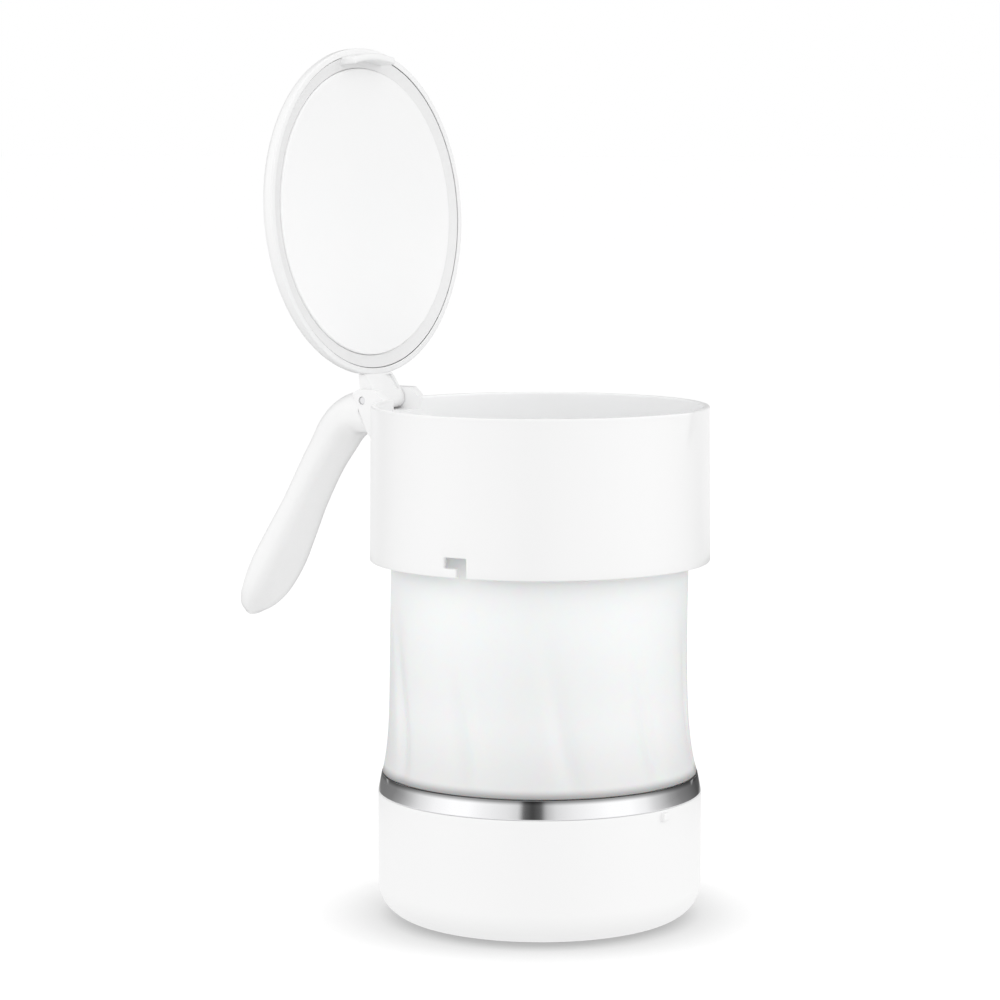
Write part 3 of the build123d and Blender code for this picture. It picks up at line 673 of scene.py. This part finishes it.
def makeSleeve(values):
    low, high = millimetres("sleeve")
    given = values | {"Band Top": bandTop, "Bottom": (low.z + 0.3) * mm, "Top": high.z * mm}
    piece = growPiece("sleeve", makeSleeveTree(sleeveSilicone), given)
    wall = piece.modifiers.new("wall", "SOLIDIFY")
    wall.thickness = sleeveWall
    wall.offset = -1
    bakeModifiers(piece)
    smoothPiece(piece, 60)
    place(piece, "base", "sleeve_silicone", "sleeve")
    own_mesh(piece)


makeSleeve(sleeveValues)
print("sleeve made")

# ---- collar

collarValues = {
    "wall": 2.2,
    "radius": 62.5,
    "rimRadius": 61.9,
    "boreRadius": 60.3,
    "boreTop": 27.5,
    "slotAngle": -83.7,
    "slotEntry": 3.7,
    "slotLength": 8.7,
    "slotBar": 3.8,
    "slotRise": 3.3,
    "lipReach": 2.3,
    "lipHeight": 16.0,
    "lipSoftness": 0.03,
    "edgeRound": 0.55,
    "earInside": 9.3,
    "earOutside": 13.5,
    "knuckleGap": 4.3,
    "bracketDrop": 20.6,
    "pinRadius": 1.52,
}
collarLow = millimetres("collar_shell")[0]
hingePlace = Vector(joints["lid_hinge"]["pos_m"]) / mm
rimHeight = hingePlace.z + 0.7


# radius of the pouring lip's two flats, which leave the round wall at a tangent
def lipRadius(its, radius, angle, depth):
    nose = radius + its.lipReach
    tangent = acos(radius / nose)
    away = min(sqrt(angle**2 + its.lipSoftness ** 2), tangent)
    level = 1 - its.lipReach * depth / (nose * its.lipHeight)
    return level * radius / cos(tangent - away)


def blendMax(first, second, width):
    gap = abs(first - second)
    return max(first, second) + (max(0.0, width - gap) ** 2) / (4 * width)


def addWall(name, angles, heights, outer, inner, missing, finish):
    bm = bmesh.new()
    grid = []
    for height in heights:
        for radius in (outer, inner):
            grid.append([polarVert(bm, radius(angle, height), angle, height) for angle in angles])
    count = len(angles)
    levels = len(heights) - 1

    def present(column, level):
        if level < 0 or level >= levels:
            return False
        column %= count
        following = angles[(column + 1) % count] + (2 * pi if column == count - 1 else 0)
        return not missing((angles[column] + following) / 2, (heights[level] + heights[level + 1]) / 2)

    for level in range(levels):
        for column in range(count):
            if not present(column, level):
                continue
            after = (column + 1) % count
            outerLow, innerLow, outerHigh, innerHigh = grid[2 * level : 2 * level + 4]
            for low, high in ((outerLow, outerHigh), (innerLow, innerHigh)):
                bm.faces.new((low[column], low[after], high[after], high[column]))
            for side, end in ((column - 1, column), (column + 1, after)):
                if not present(side, level):
                    bm.faces.new((outerLow[end], innerLow[end], innerHigh[end], outerHigh[end]))
            for row, out, into in ((level - 1, outerLow, innerLow), (level + 1, outerHigh, innerHigh)):
                if not present(column, row):
                    bm.faces.new((out[column], out[after], into[after], into[column]))
    loose = [vert for vert in bm.verts if not vert.link_faces]
    bmesh.ops.delete(bm, geom=loose, context="VERTS")
    return addPiece(name, bm, finish)


def makeCollar(its):
    bottom = collarLow.z
    slotFrom = radians(its.slotAngle)
    perMillimetre = 1 / its.boreRadius
    entry = its.slotEntry / 2 * perMillimetre
    barEnd = entry - its.slotLength * perMillimetre
    rise = bottom + its.slotRise
    barTop = rise + its.slotBar
    angles = []
    for step in range(720):
        angle = radians(step / 2 - 180)
        if abs(angle) < radians(20) or step % 3 == 0:
            angles.append(angle)
    for turn in (0, pi):
        for offset in (entry, -entry, barEnd):
            exact = slotFrom + turn + offset
            angles = [angle for angle in angles if abs(angle - exact) > radians(0.6)] + [exact]
    angles.sort()
    lipFoot = rimHeight - its.lipHeight
    heights = [bottom, rise, barTop, bottom + 14, bottom + 22, bottom + its.boreTop, lipFoot - 4]
    heights += [lipFoot + its.lipHeight * step / 16 for step in range(17)]

    def lipped(plain, start, angle, height):
        if height <= lipFoot - 3:
            return plain
        return blendMax(plain, lipRadius(its, start, angle, rimHeight - height), 0.5)

    def outer(angle, height):
        share = (height - bottom) / (rimHeight - bottom)
        plain = its.radius + (its.rimRadius - its.radius) * share
        return lipped(plain, its.rimRadius, angle, height)

    def inner(angle, height):
        if height < bottom + its.boreTop - 0.1:
            return its.boreRadius
        plain = its.rimRadius - its.wall
        return lipped(plain, plain, angle, height)

    def missing(angle, height):
        offsets = [(angle - slotFrom - turn + pi) % (2 * pi) - pi for turn in (0, pi)]
        if height < barTop and any(abs(offset) < entry for offset in offsets):
            return True
        return rise < height < barTop and any(barEnd < offset < entry for offset in offsets)

    collar = addWall("collar", angles, heights, outer, inner, missing, whitePlastic)
    softenEdges(collar, its.edgeRound * mm)
    x, z = hingePlace.x, hingePlace.z
    bracket = [(1.4 - its.rimRadius, z - its.bracketDrop, 0), (x + 2.6, z - 12.6, 3.0)]
    bracket += [(x - 4.6, z + 2.6, 0.8), (x - 2.0, z + 4.0, 1.6), (-64.4, z + 4.0, 1.6)]
    bracket += [(-60.9, rimHeight - 0.2, 0.2)]
    ears = addPrism("bracket", roundedOutline(bracket, 6), its.earOutside)
    softenEdges(ears, 0.0009, segments=4)
    boreRadius, foot, head = its.rimRadius - its.wall + 0.05, z - 30, rimHeight + 12
    bore = [(0, foot), (boreRadius, foot), (boreRadius, head), (0, head)]
    combine(ears, addTurned("bore", bore, whitePlastic, segments=240))
    combine(collar, ears, "UNION")
    gap = its.knuckleGap
    notch = arcPoints(x, z, gap, 270, 180, 10)
    notch += [(x - 2 * gap, rimHeight + 8, 0), (-40, rimHeight + 8, 0), (-40, z - gap, 0)]
    cutter = addPrism("notch", notch, its.earInside)
    combine(collar, cutter)
    combine(collar, addPrism("pinHole", circle(x, z, its.pinRadius), 20))
    smoothPiece(collar, 40)
    # painted light: the collar's inside faces and the ears' inner faces take the lighter copy of the white
    # plastic
    collar.data.materials.append(paintedLightPlastic)
    bore = (its.rimRadius - its.wall / 2) * mm
    for face in collar.data.polygons:
        inwards = face.normal.x * face.center.x + face.normal.y * face.center.y < -0.5 * face.center.xy.length
        inEar = face.center.x < -bore and abs(face.center.y) < (its.earInside + 0.4) * mm
        if inEar or (inwards and face.center.xy.length < bore + its.lipReach * mm):
            face.material_index = len(collar.data.materials) - 1
    place(collar, "collar", "white_plastic", "collar_shell")


makeCollar(Named(**collarValues))
print("collar made")

# ---- handle

# out from the hinge axis, down from it, thickness, width
handleValues = {
    "stations": [
        (8.0, 5.2, 15.8, 25.7),
        (14.0, 7.8, 14.5, 24.5),
        (19.0, 12.6, 13.6, 23.2),
        (22.6, 18.0, 12.8, 22.2),
        (28.7, 27.2, 11.8, 21.6),
        (36.4, 41.0, 11.7, 22.0),
        (43.3, 53.7, 13.0, 24.6),
        (49.7, 65.4, 13.6, 27.0),
        (55.6, 75.7, 11.5, 25.6),
        (59.8, 82.1, 8.2, 19.0),
        (61.8, 85.4, 3.9, 10.0),
    ],
    "seamGap": 0.25,
    "squareness": 2.7,
    "stepsBetween": 6,
    "around": 56,
    "stripWidth": 12.6,
    "stripFloor": 0.28,
    "stripGap": 0.16,
}


def curveThrough(rows, steps):
    found = []
    for index in range(len(rows) - 1):
        before = rows[max(index - 1, 0)]
        after = rows[min(index + 2, len(rows) - 1)]
        start, end = rows[index], rows[index + 1]
        for step in range(steps):
            t = step / steps
            row = []
            for a, b, c, d in zip(before, start, end, after):
                square, cube = 2 * a - 5 * b + 4 * c - d, 3 * b - a - 3 * c + d
                row.append(0.5 * (2 * b + (c - a) * t + square * t * t + cube * t**3))
            found.append(tuple(row))
    found.append(tuple(rows[-1]))
    return found


def makeHandle(its):
    x, z = hingePlace.x, hingePlace.z
    high = Vector((x - 4.6, z + 2.6))
    low = Vector((x + 2.6, z - 12.6))
    slope = (high - low).normalized()
    normal = Vector((-slope.y, slope.x))
    seam = (high + low) / 2 + normal * its.seamGap
    rows = [(seam.x, seam.y, (high - low).length, 2 * collarValues["earOutside"])]
    rows += [(x - out, z - down, thick, wide) for out, down, thick, wide in its.stations]
    fine = curveThrough(rows, its.stepsBetween)
    squareness = 2 / its.squareness

    def section(index, shrink=1.0, push=0.0):
        px, pz, thick, wide = fine[index]
        if index == 0:
            along = normal
        else:
            after = fine[min(index + 1, len(fine) - 1)]
            before = fine[index - 1]
            along = Vector((after[0] - before[0], after[1] - before[1])).normalized()
        outwards = Vector((along.y, -along.x))
        ring = []
        for step in range(its.around):
            angle = 2 * pi * step / its.around
            c, s = cos(angle), sin(angle)
            y = wide / 2 * shrink * copysign(abs(c) ** squareness, c)
            t = thick / 2 * shrink * copysign(abs(s) ** squareness, s)
            spot = Vector((px, pz)) + outwards * t + along * push
            ring.append((spot.x * mm, y * mm, spot.y * mm))
        return ring

    def blank(name):
        bm = bmesh.new()
        rings = [section(0, 0.9), section(0, 0.97, 0.1), section(0, 1.0, 0.6)]
        rings += [section(index) for index in range(1, len(fine))]
        last = len(fine) - 1
        for shrink, push in ((0.9, 0.5), (0.7, 1.0), (0.4, 1.3)):
            rings.append(section(last, shrink, push))
        made = [[bm.verts.new(spot) for spot in ring] for ring in rings]
        for first, second in zip(made, made[1:]):
            joinRings(bm, first, second)
        bm.faces.new(made[0])
        bm.faces.new(made[-1])
        return addPiece(name, bm, whitePlastic)

    def stripBlock(name, gap):
        floor, outside = [], []
        steps = its.stepsBetween
        for index in range(2 * steps, len(fine) - 2 * steps, 2):
            px, pz, thick, wide = fine[index]
            along = Vector((fine[index + 1][0] - fine[index - 1][0], fine[index + 1][1] - fine[index - 1][1]))
            along.normalize()
            outwards = Vector((along.y, -along.x))
            floor.append(tuple(Vector((px, pz)) + outwards * (its.stripFloor * thick - gap)))
            outside.append(tuple(Vector((px, pz)) + outwards * thick))
        return addPrism(name, floor + outside[::-1], its.stripWidth / 2 + gap)

    strip = blank("handleStrip")
    combine(strip, stripBlock("stripBlock", 0), "INTERSECT")
    softenEdges(strip, 0.0002, segments=2)
    place(strip, "collar", "white_plastic", "handle_strip")
    body = blank("handleBody")
    combine(body, stripBlock("stripPocket", its.stripGap))
    knuckle = circle(x, z, collarValues["knuckleGap"])
    combine(body, addPrism("knuckleRoom", knuckle, collarValues["earInside"]))
    smoothPiece(body, 40)
    place(body, "collar", "white_plastic", "handle_body")


makeHandle(Named(**handleValues))
finishNode("handle_screws", steel)
finishNode("base_screws", steel)

pinValues = {"radius": 1.5, "round": 0.35}


def makePin(its):
    low, high = millimetres("hinge_pin")
    half, radius = (high.y - low.y) / 2, its.radius
    corners = [(0, -half, 0), (radius, -half, its.round), (radius, half, its.round), (0, half, 0)]
    axis = Matrix.Translation(hingePlace * mm) @ Matrix.Rotation(radians(90), 4, "X")
    pin = addTurned("hingePin", corners, steel, axis, segments=48)
    place(pin, "collar", "steel", "hinge_pin")


makePin(Named(**pinValues))
print("handle and hinge made")

# ---- insert

insertValues = {
    "holderWall": 1.5,
    "flange": 1.8,
    "tabWidth": 14.0,
    "tabHeight": 8.0,
    "tabThickness": 1.4,
    "siliconeWall": 1.5,
    "siliconeLip": 1.2,
}


def makeInsert(its):
    low, high = millimetres("insert_holder")
    tubeLow, tubeHigh = millimetres("bristle_sleeve")
    flangeRadius = (high.x - low.x) / 2
    flangeTop = high.z - its.tabHeight
    flangeBottom = flangeTop - its.flange
    innerRadius = tubeHigh.x - 4.0 + 0.1
    outerRadius = innerRadius + its.holderWall
    corners = [(innerRadius, low.z, 0.3), (outerRadius, low.z, 0.3), (outerRadius, flangeBottom, 0)]
    corners += [(flangeRadius, flangeBottom, 0.3), (flangeRadius, flangeTop, 0.4)]
    corners.append((innerRadius, flangeTop, 0))
    holder = addTurned("insertHolder", corners, insertPlastic)
    half, foot = its.tabWidth / 2, flangeTop - 0.6
    corners = [(-half, foot, 0), (half, foot, 0), (half, high.z, 3.0), (-half, high.z, 3.0)]
    outline = roundedOutline(corners, 8)
    outwards = Matrix.Translation((0, (flangeRadius - 1.3) * mm, 0))
    for turn in (180, 0):
        sideways = Matrix.Rotation(radians(turn), 4, "Z") @ outwards
        tab = addPrism("tab", outline, its.tabThickness / 2, sideways, insertPlastic)
        softenEdges(tab, 0.0003)
        combine(holder, tab, "UNION")
    smoothPiece(holder)
    place(holder, "collar", "insert_plastic", "insert_holder")
    tubeRadius = innerRadius - 0.1
    inside = tubeRadius - its.siliconeWall
    lipBottom = tubeHigh.z - its.siliconeLip
    corners = [(inside, tubeLow.z, 0.4), (tubeRadius, tubeLow.z, 0.4), (tubeRadius, lipBottom, 0)]
    corners += [(tubeHigh.x, lipBottom, 0.2), (tubeHigh.x, tubeHigh.z, 0.5), (inside, tubeHigh.z, 0.7)]
    tube = addTurned("siliconeTube", corners, bristleSilicone)
    place(tube, "collar", "bristle_silicone", "bristle_sleeve")
    return inside


bristleValues = {
    "Rows": 8,
    "Per Row": 34,
    "Length": 0.0168,
    "Root Radius": 0.0012,
    "Tip Radius": 0.0007,
    "Sway": 0.035,
    "Seed": 7,
}


# staggered rows of tapered bristles with round tips, pointing at the axis
def makeBristleTree(finish):
    sizes = ("Length", "Root Radius", "Tip Radius", "Sway", "Ring Radius", "Bottom", "Top")
    inputs = {label: 0.0 for label in sizes} | {label: 1 for label in ("Rows", "Per Row", "Seed")}
    tree, given, put = newTree("bristleRows", "GeometryNodeTree", inputs, {"Geometry": "Geometry"})
    perRow = given["Per Row"]
    points = tree.add("GeometryNodePoints", {"Count": tree.times(given["Rows"], perRow)}).outputs[0]
    index = tree.add("GeometryNodeInputIndex").outputs[0]
    row = tree.calc("FLOOR", tree.calc("DIVIDE", tree.plus(index, 0.5), perRow))
    inRow = tree.calc("SUBTRACT", index, tree.times(row, perRow))
    stagger = tree.times(tree.calc("MODULO", row, 2.0), 0.5)
    turn = tree.times(tree.calc("DIVIDE", tree.plus(inRow, stagger), perRow), 2 * pi)
    share = tree.calc("DIVIDE", tree.plus(row, 0.5), given["Rows"])
    height = tree.spread(share, 0.0, 1.0, given["Bottom"], given["Top"])
    east, north = tree.calc("COSINE", turn), tree.calc("SINE", turn)
    x, y = (tree.times(part, given["Ring Radius"]) for part in (east, north))
    spots = {"Geometry": points, "Position": tree.join(x, y, height)}
    spotted = tree.add("GeometryNodeSetPosition", spots).outputs[0]
    limits = {0: (-1.0, -1.0, -1.0), 1: (1.0, 1.0, 1.0), "Seed": given["Seed"]}
    sway = tree.add("FunctionNodeRandomValue", limits, data_type="FLOAT_VECTOR").outputs[0]
    swayed = tree.add("ShaderNodeVectorMath", {0: sway, "Scale": given["Sway"]}, operation="SCALE").outputs[0]
    inwards = tree.join(tree.times(east, -1.0), tree.times(north, -1.0), -0.06)
    heading = tree.add("ShaderNodeVectorMath", {0: inwards, 1: swayed}, operation="ADD").outputs[0]
    aligned = tree.add("FunctionNodeAlignRotationToVector", {"Vector": heading}, axis="Z").outputs[0]
    taper = {"Vertices": 8, "Side Segments": 2, "Radius Top": given["Tip Radius"]}
    taper |= {"Radius Bottom": given["Root Radius"], "Depth": given["Length"]}
    stem = tree.add("GeometryNodeMeshCone", taper, fill_type="NONE").outputs["Mesh"]
    ball = {"Segments": 8, "Rings": 4, "Radius": given["Tip Radius"]}
    tip = tree.add("GeometryNodeMeshUVSphere", ball).outputs["Mesh"]
    atEnd = {"Geometry": tip, "Translation": tree.join(0.0, 0.0, given["Length"])}
    joined = tree.add("GeometryNodeJoinGeometry")
    for part in (tree.add("GeometryNodeTransform", atEnd).outputs[0], stem):
        tree.link(part, joined.inputs[0])
    copies = {"Points": spotted, "Instance": joined.outputs[0], "Rotation": aligned}
    rows = tree.add("GeometryNodeInstanceOnPoints", copies).outputs[0]
    return endTree(tree, rows, finish, put)


def makeBristles(values, ringRadius):
    low, high = millimetres("bristles")
    given = values | {"Ring Radius": (ringRadius + 0.3) * mm}
    given |= {"Bottom": (low.z - 0.6) * mm, "Top": (high.z + 0.6) * mm}
    piece = growPiece("bristles", makeBristleTree(bristleSilicone), given)
    smoothPiece(piece, 60)
    place(piece, "collar", "bristle_silicone", "bristles")


makeBristles(bristleValues, makeInsert(Named(**insertValues)))
for hidden in ("support_ring", "upper_clamp_ring"):
    finishNode(hidden, innerPlastic)
print("insert made")

# ---- lid

lidValues = {
    "radius": 61.1,
    "setBack": 0.3,
    "lipWidth": 2.5,
    "wall": 1.6,
    "edgeHeight": 2.6,
    "crownHeight": 8.0,
    "crownRadius": 54.4,
    "shoulderHeight": 7.0,
    "offset": 1.0,
    "edgeRound": 0.55,
    "discRadius": 53.7,
    "discDepth": 0.9,
    "discWall": 1.6,
    "discRound": 0.6,
    "sealDepth": 1.6,
    "sealRise": 1.3,
    "catchWidth": 26.0,
    "catchDepth": 6.0,
    "catchThickness": 2.6,
    "catchRadius": 58.8,
    "neckWidth": 18.0,
    "neckWall": 1.6,
    "neckGroove": 0.8,
    "neckSlot": (3.9, 7.4),
    "knuckleRadius": 4.0,
    "pinHole": 1.55,
}
lidLean = radians(joints["lid_hinge"]["range_deg"][1] - 90)
# closed, the lid lies square to the cup; at rest it leans back past upright
lidTurn = Matrix(
    (
        (-sin(lidLean), 0, -cos(lidLean), 0),
        (0, 1, 0, 0),
        (cos(lidLean), 0, -sin(lidLean), 0),
        (0, 0, 0, 1),
    )
)
hingeFrame = Matrix.Translation(hingePlace * mm) @ lidTurn


def makeLid(its):
    reach = -hingePlace.x - its.setBack
    lipPlane = hingeFrame @ Matrix.Translation((reach * mm, 0, its.offset * mm))
    radius, wall = its.radius, its.wall
    inner = radius - wall
    crown, shoulder = its.crownRadius, its.shoulderHeight

    def shoulderCurve(*ends, reverse=False):
        points = []
        for step in range(13):
            t = step / 12
            first, second, third = (1 - t) ** 2, 2 * t * (1 - t), t * t
            points.append((*(first * a + second * b + third * c for a, b, c in zip(*ends)), 0))
        return points[::-1] if reverse else points

    lipInside = radius - its.lipWidth
    corners = [(lipInside, 0, 0.25), (radius, 0, its.edgeRound)]
    corners += shoulderCurve((radius, its.edgeHeight), (radius - 1.2, 6.0), (crown, shoulder))
    corners += [(40, shoulder + 0.62, 0), (20, its.crownHeight - 0.08, 0), (0, its.crownHeight, 0)]
    corners += [(0, its.crownHeight - wall, 0)]
    corners += shoulderCurve((inner, 1.8), (inner - 0.9, 4.5), (crown, shoulder - wall), reverse=True)
    shell = addTurned("lidShell", corners, whitePlastic, lipPlane, segments=256)

    catchInner, half = its.catchRadius - its.catchThickness, its.catchWidth / 2

    def sector(name, outer, low, high):
        bm = bmesh.new()
        rings = []
        for height in (low, high):
            for away in (catchInner, outer):
                limit = asin(half / away)
                turns = [-limit + 2 * limit * step / 24 for step in range(25)]
                rings.append([polarVert(bm, away, turn, height) for turn in turns])
        innerLow, outerLow, innerHigh, outerHigh = rings
        pairs = ((innerLow, outerLow), (innerHigh, outerHigh), (innerLow, innerHigh), (outerLow, outerHigh))
        for a, b in pairs:
            for step in range(24):
                bm.faces.new((a[step], a[step + 1], b[step + 1], b[step]))
        for end in (0, 24):
            bm.faces.new((innerLow[end], outerLow[end], outerHigh[end], innerHigh[end]))
        bm.transform(lipPlane)
        return addPiece(name, bm, whitePlastic)

    catch = sector("catch", its.catchRadius, -its.catchDepth, its.sealDepth - 0.1)
    softenEdges(catch, 0.0007)
    combine(shell, catch, "UNION")
    combine(shell, sector("catchRoot", inner + 0.6, 0.35, its.sealDepth - 0.1), "UNION")

    knuckle = its.knuckleRadius
    root = reach - radius + 0.6
    top = its.offset + its.edgeHeight + wall / 2
    outline = arcPoints(0, 0, knuckle, 100, 290, 24)
    outline += [(root, its.offset + 0.3, 0), (root, top, 0)]
    neck = addPrism("neck", outline, its.neckWidth / 2, hingeFrame)
    softenEdges(neck, 0.0006)
    combine(shell, neck, "UNION")
    start = 1.5 + its.neckWall
    end = root - 0.6 - wall / 4
    bottom = outline[24]
    rise = (its.offset + 0.3 - bottom[1]) / (root - bottom[0])
    pocket = [(start, -2 * knuckle), (end, -2 * knuckle)]
    for x in (end, start):
        pocket.append((x, bottom[1] + (x - bottom[0]) * rise + its.neckGroove))
    slotLow, slotHigh = its.neckSlot
    sideways = Matrix.Translation((0, (slotLow + slotHigh) / 2 * mm, 0))
    channel = addPrism("channel", pocket, (slotHigh - slotLow) / 2, hingeFrame @ sideways)
    combine(shell, channel)
    hole = addPrism("pinHole", circle(0, 0, its.pinHole), 20, hingeFrame)
    combine(shell, hole)
    smoothPiece(shell, 40)
    place(shell, "lid", "white_plastic", "lid_shell")

    face, discRadius = its.discDepth, its.discRadius
    rimTop, back, rimInside = shoulder - wall - 0.1, face + its.discWall, discRadius - its.discWall
    corners = [(0, face, 0), (discRadius, face, its.discRound), (discRadius, rimTop, 0.2)]
    corners += [(rimInside, rimTop, 0.2), (rimInside, back, 0), (0, back, 0)]
    disc = addTurned("lidDisc", corners, paintedLightDiscPlastic, lipPlane, segments=256, steps=6)
    place(disc, "lid", "inner_plastic", "lid_disc")
    depth, sealInside, sealOutside = its.sealDepth, discRadius + 0.1, lipInside - 0.05
    corners = [(sealInside, depth, 0.4), (sealOutside, depth - its.sealRise, 0.2)]
    back = depth + 1.2
    corners += [(sealOutside, depth + 0.2, 0), (lipInside - 1.0, back, 0), (sealInside, back, 0)]
    seal = addTurned("lidSeal", corners, sealSiliconeAndShade, lipPlane, segments=192)
    place(seal, "lid", "seal_silicone", "lid_seal")


makeLid(Named(**lidValues))
print("lid made")

# ---- floor, light

studioValues = {
    "floorSize": 40.0,
    "floorTone": 0.94,
    "floorLift": 0.09,
    "mirrorFloor": (0.2, 0.36),
    "mirrorBehind": (0.9, 1.2),
    "behindShare": (0.72, 0.8),
    "contactReach": 0.03,
    "contactShade": 0.5,
    "bounceLevel": 0.88,
    "skyLevel": 0.97,
    "mirrorLevel": 1.2,
    "ceilingRise": (0.6, 0.85),
    "ceilingLevel": 0.85,
    "aimHeight": 0.15,
    "lampDistance": 2.2,
    "lampWidth": 1.3,
    # name, turn from the camera and height in degrees, power
    "lamps": [
        ("frontLamp", 0, 30, 3.0),
        ("lowLamp", 0, 8, 2.2),
        ("leftLamp", -90, 20, 4.8),
        ("rightLamp", 90, 20, 6.2),
    ],
    # turn from the camera in degrees, brightness of the room as gloss shows it
    "room": [
        (-180, 0.15), (-139, 0.18), (-125, 0.21), (-114, 0.32), (-104, 0.51), (-95, 0.71),
        (-80, 0.91), (-65, 1.0), (-52, 1.0), (-40, 0.88), (-22, 0.75), (-15, 0.64), (-11, 0.13),
        (-5, 0.05), (1, 0.11), (5, 0.48), (12, 0.7), (24, 0.83), (35, 0.91), (50, 1.0), (67, 1.0),
        (81, 0.86), (89, 0.66), (97, 0.51), (106, 0.33), (117, 0.21), (144, 0.075), (180, 0.12),
    ],
}


# brightness of the room in a direction, as gloss shows it
def makeRoomLevels(its):
    tree, given, put = newTree("roomLevels", "ShaderNodeTree", {"Vector": None}, {"Colour": "Color"})
    angle = radians(cameraView["azimuth"])
    parts = []
    for way in ((cos(angle), sin(angle), 0), (sin(angle), -cos(angle), 0)):
        dot = tree.add("ShaderNodeVectorMath", {0: given["Vector"], 1: way}, operation="DOT_PRODUCT")
        parts.append(dot.outputs["Value"])
    turn = tree.spread(tree.calc("ARCTAN2", *parts), -pi, pi)
    ramp = tree.add("ShaderNodeValToRGB", {0: turn})
    elements = ramp.color_ramp.elements
    while len(elements) < len(its.room):
        elements.new(0.5)
    for element, (degrees, level) in zip(elements, its.room):
        element.position = (degrees + 180) / 360
        element.color = grey(level)
    tree.link(ramp.outputs[0], put["Colour"])
    return tree.own


studio = Named(**studioValues)
roomLevels = makeRoomLevels(studio)


# white near the object; further off, gloss sees the floor as dark or bright as the room above it
def makeFloor(its):
    bm = bmesh.new()
    bmesh.ops.create_grid(bm, x_segments=4, y_segments=4, size=its.floorSize)
    material = bpy.data.materials.new("floor")
    material.use_nodes = True
    tree = Tree(material.node_tree)
    tree.own.nodes.clear()
    put = tree.add("ShaderNodeOutputMaterial").inputs["Surface"]
    rays = tree.add("ShaderNodeLightPath").outputs
    lamp, tone = "ShaderNodeEmission", grey(its.floorTone)
    contact = {"Distance": its.contactReach, "Color": tone}
    shade = tree.add("ShaderNodeAmbientOcclusion", contact, samples=12).outputs["Color"]
    matt = {"Color": tree.mix(its.contactShade, tone, shade)}
    lifted = {0: tree.add("ShaderNodeBsdfDiffuse", matt).outputs[0], 1: tree.glow(lamp, its.floorLift)}
    seen = tree.add("ShaderNodeAddShader", lifted).outputs[0]
    bounced = tree.either(rays["Is Diffuse Ray"], seen, tree.glow(lamp, its.bounceLevel))
    through = tree.either(rays["Is Transmission Ray"], bounced, tree.glow(lamp, 1.0))
    spot = tree.add("ShaderNodeTexCoord").outputs["Object"]
    away = tree.add("ShaderNodeVectorMath", {0: spot}, operation="LENGTH").outputs["Value"]
    levels = tree.add("ShaderNodeGroup", {"Vector": spot}, node_tree=roomLevels).outputs["Colour"]
    angle = radians(cameraView["azimuth"])
    line = {0: spot, 1: (-sin(angle), cos(angle), 0)}
    behind = tree.add("ShaderNodeVectorMath", line, operation="DOT_PRODUCT").outputs["Value"]
    screen = tree.times(
        tree.spread(tree.calc("DIVIDE", behind, away), *its.behindShare, smooth=True),
        tree.spread(away, *its.mirrorBehind, smooth=True),
    )
    dark = tree.spread(away, *its.mirrorFloor, smooth=True)
    share = tree.calc("SUBTRACT", dark, screen, clamp=True)
    shown = tree.mix(share, grey(1 / its.mirrorLevel), levels)
    mirrored = tree.glow(lamp, its.mirrorLevel, shown)
    tree.link(tree.either(rays["Is Glossy Ray"], through, mirrored), put)
    addPiece("floor", bm, material)


def addLamp(its, name, turn, lift, power):
    side, up = radians(cameraView["azimuth"] + turn), radians(lift)
    heading = Vector((cos(up) * sin(side), -cos(up) * cos(side), sin(up)))
    lamp = addObject(name, bpy.data.lights.new(name, "AREA"))
    lamp.data.size = its.lampWidth
    lamp.data.energy = power
    lamp.location = Vector((0, 0, its.aimHeight)) + heading * its.lampDistance
    lamp.rotation_euler = heading.to_track_quat("Z", "Y").to_euler()
    lamp.visible_glossy = False


# a white room for the eye, and for gloss a room with dark gaps between its bright screens
def makeWorld(its):
    world = bpy.data.worlds.new("studio")
    bpy.context.scene.world = world
    world.use_nodes = True
    tree = Tree(world.node_tree)
    tree.own.nodes.clear()
    put = tree.add("ShaderNodeOutputWorld").inputs["Surface"]
    rays = tree.add("ShaderNodeLightPath").outputs
    way = tree.add("ShaderNodeTexCoord").outputs["Generated"]
    levels = tree.add("ShaderNodeGroup", {"Vector": way}, node_tree=roomLevels).outputs["Colour"]
    ceiling = tree.spread(tree.split(way)[2], *its.ceilingRise, smooth=True)
    room = tree.mix(ceiling, levels, grey(its.ceilingLevel))
    sky = "ShaderNodeBackground"
    soft, mirrored = tree.glow(sky, its.skyLevel), tree.glow(sky, its.mirrorLevel, room)
    lit = tree.either(rays["Is Glossy Ray"], soft, mirrored)
    plainSight = tree.calc("MAXIMUM", rays["Is Camera Ray"], rays["Is Transmission Ray"])
    tree.link(tree.either(plainSight, lit, tree.glow(sky, 1.0)), put)


makeFloor(studio)
for lampValues in studio.lamps:
    addLamp(studio, *lampValues)
makeWorld(studio)
bpy.context.scene.view_settings.view_transform = "Standard"
print("studio made")
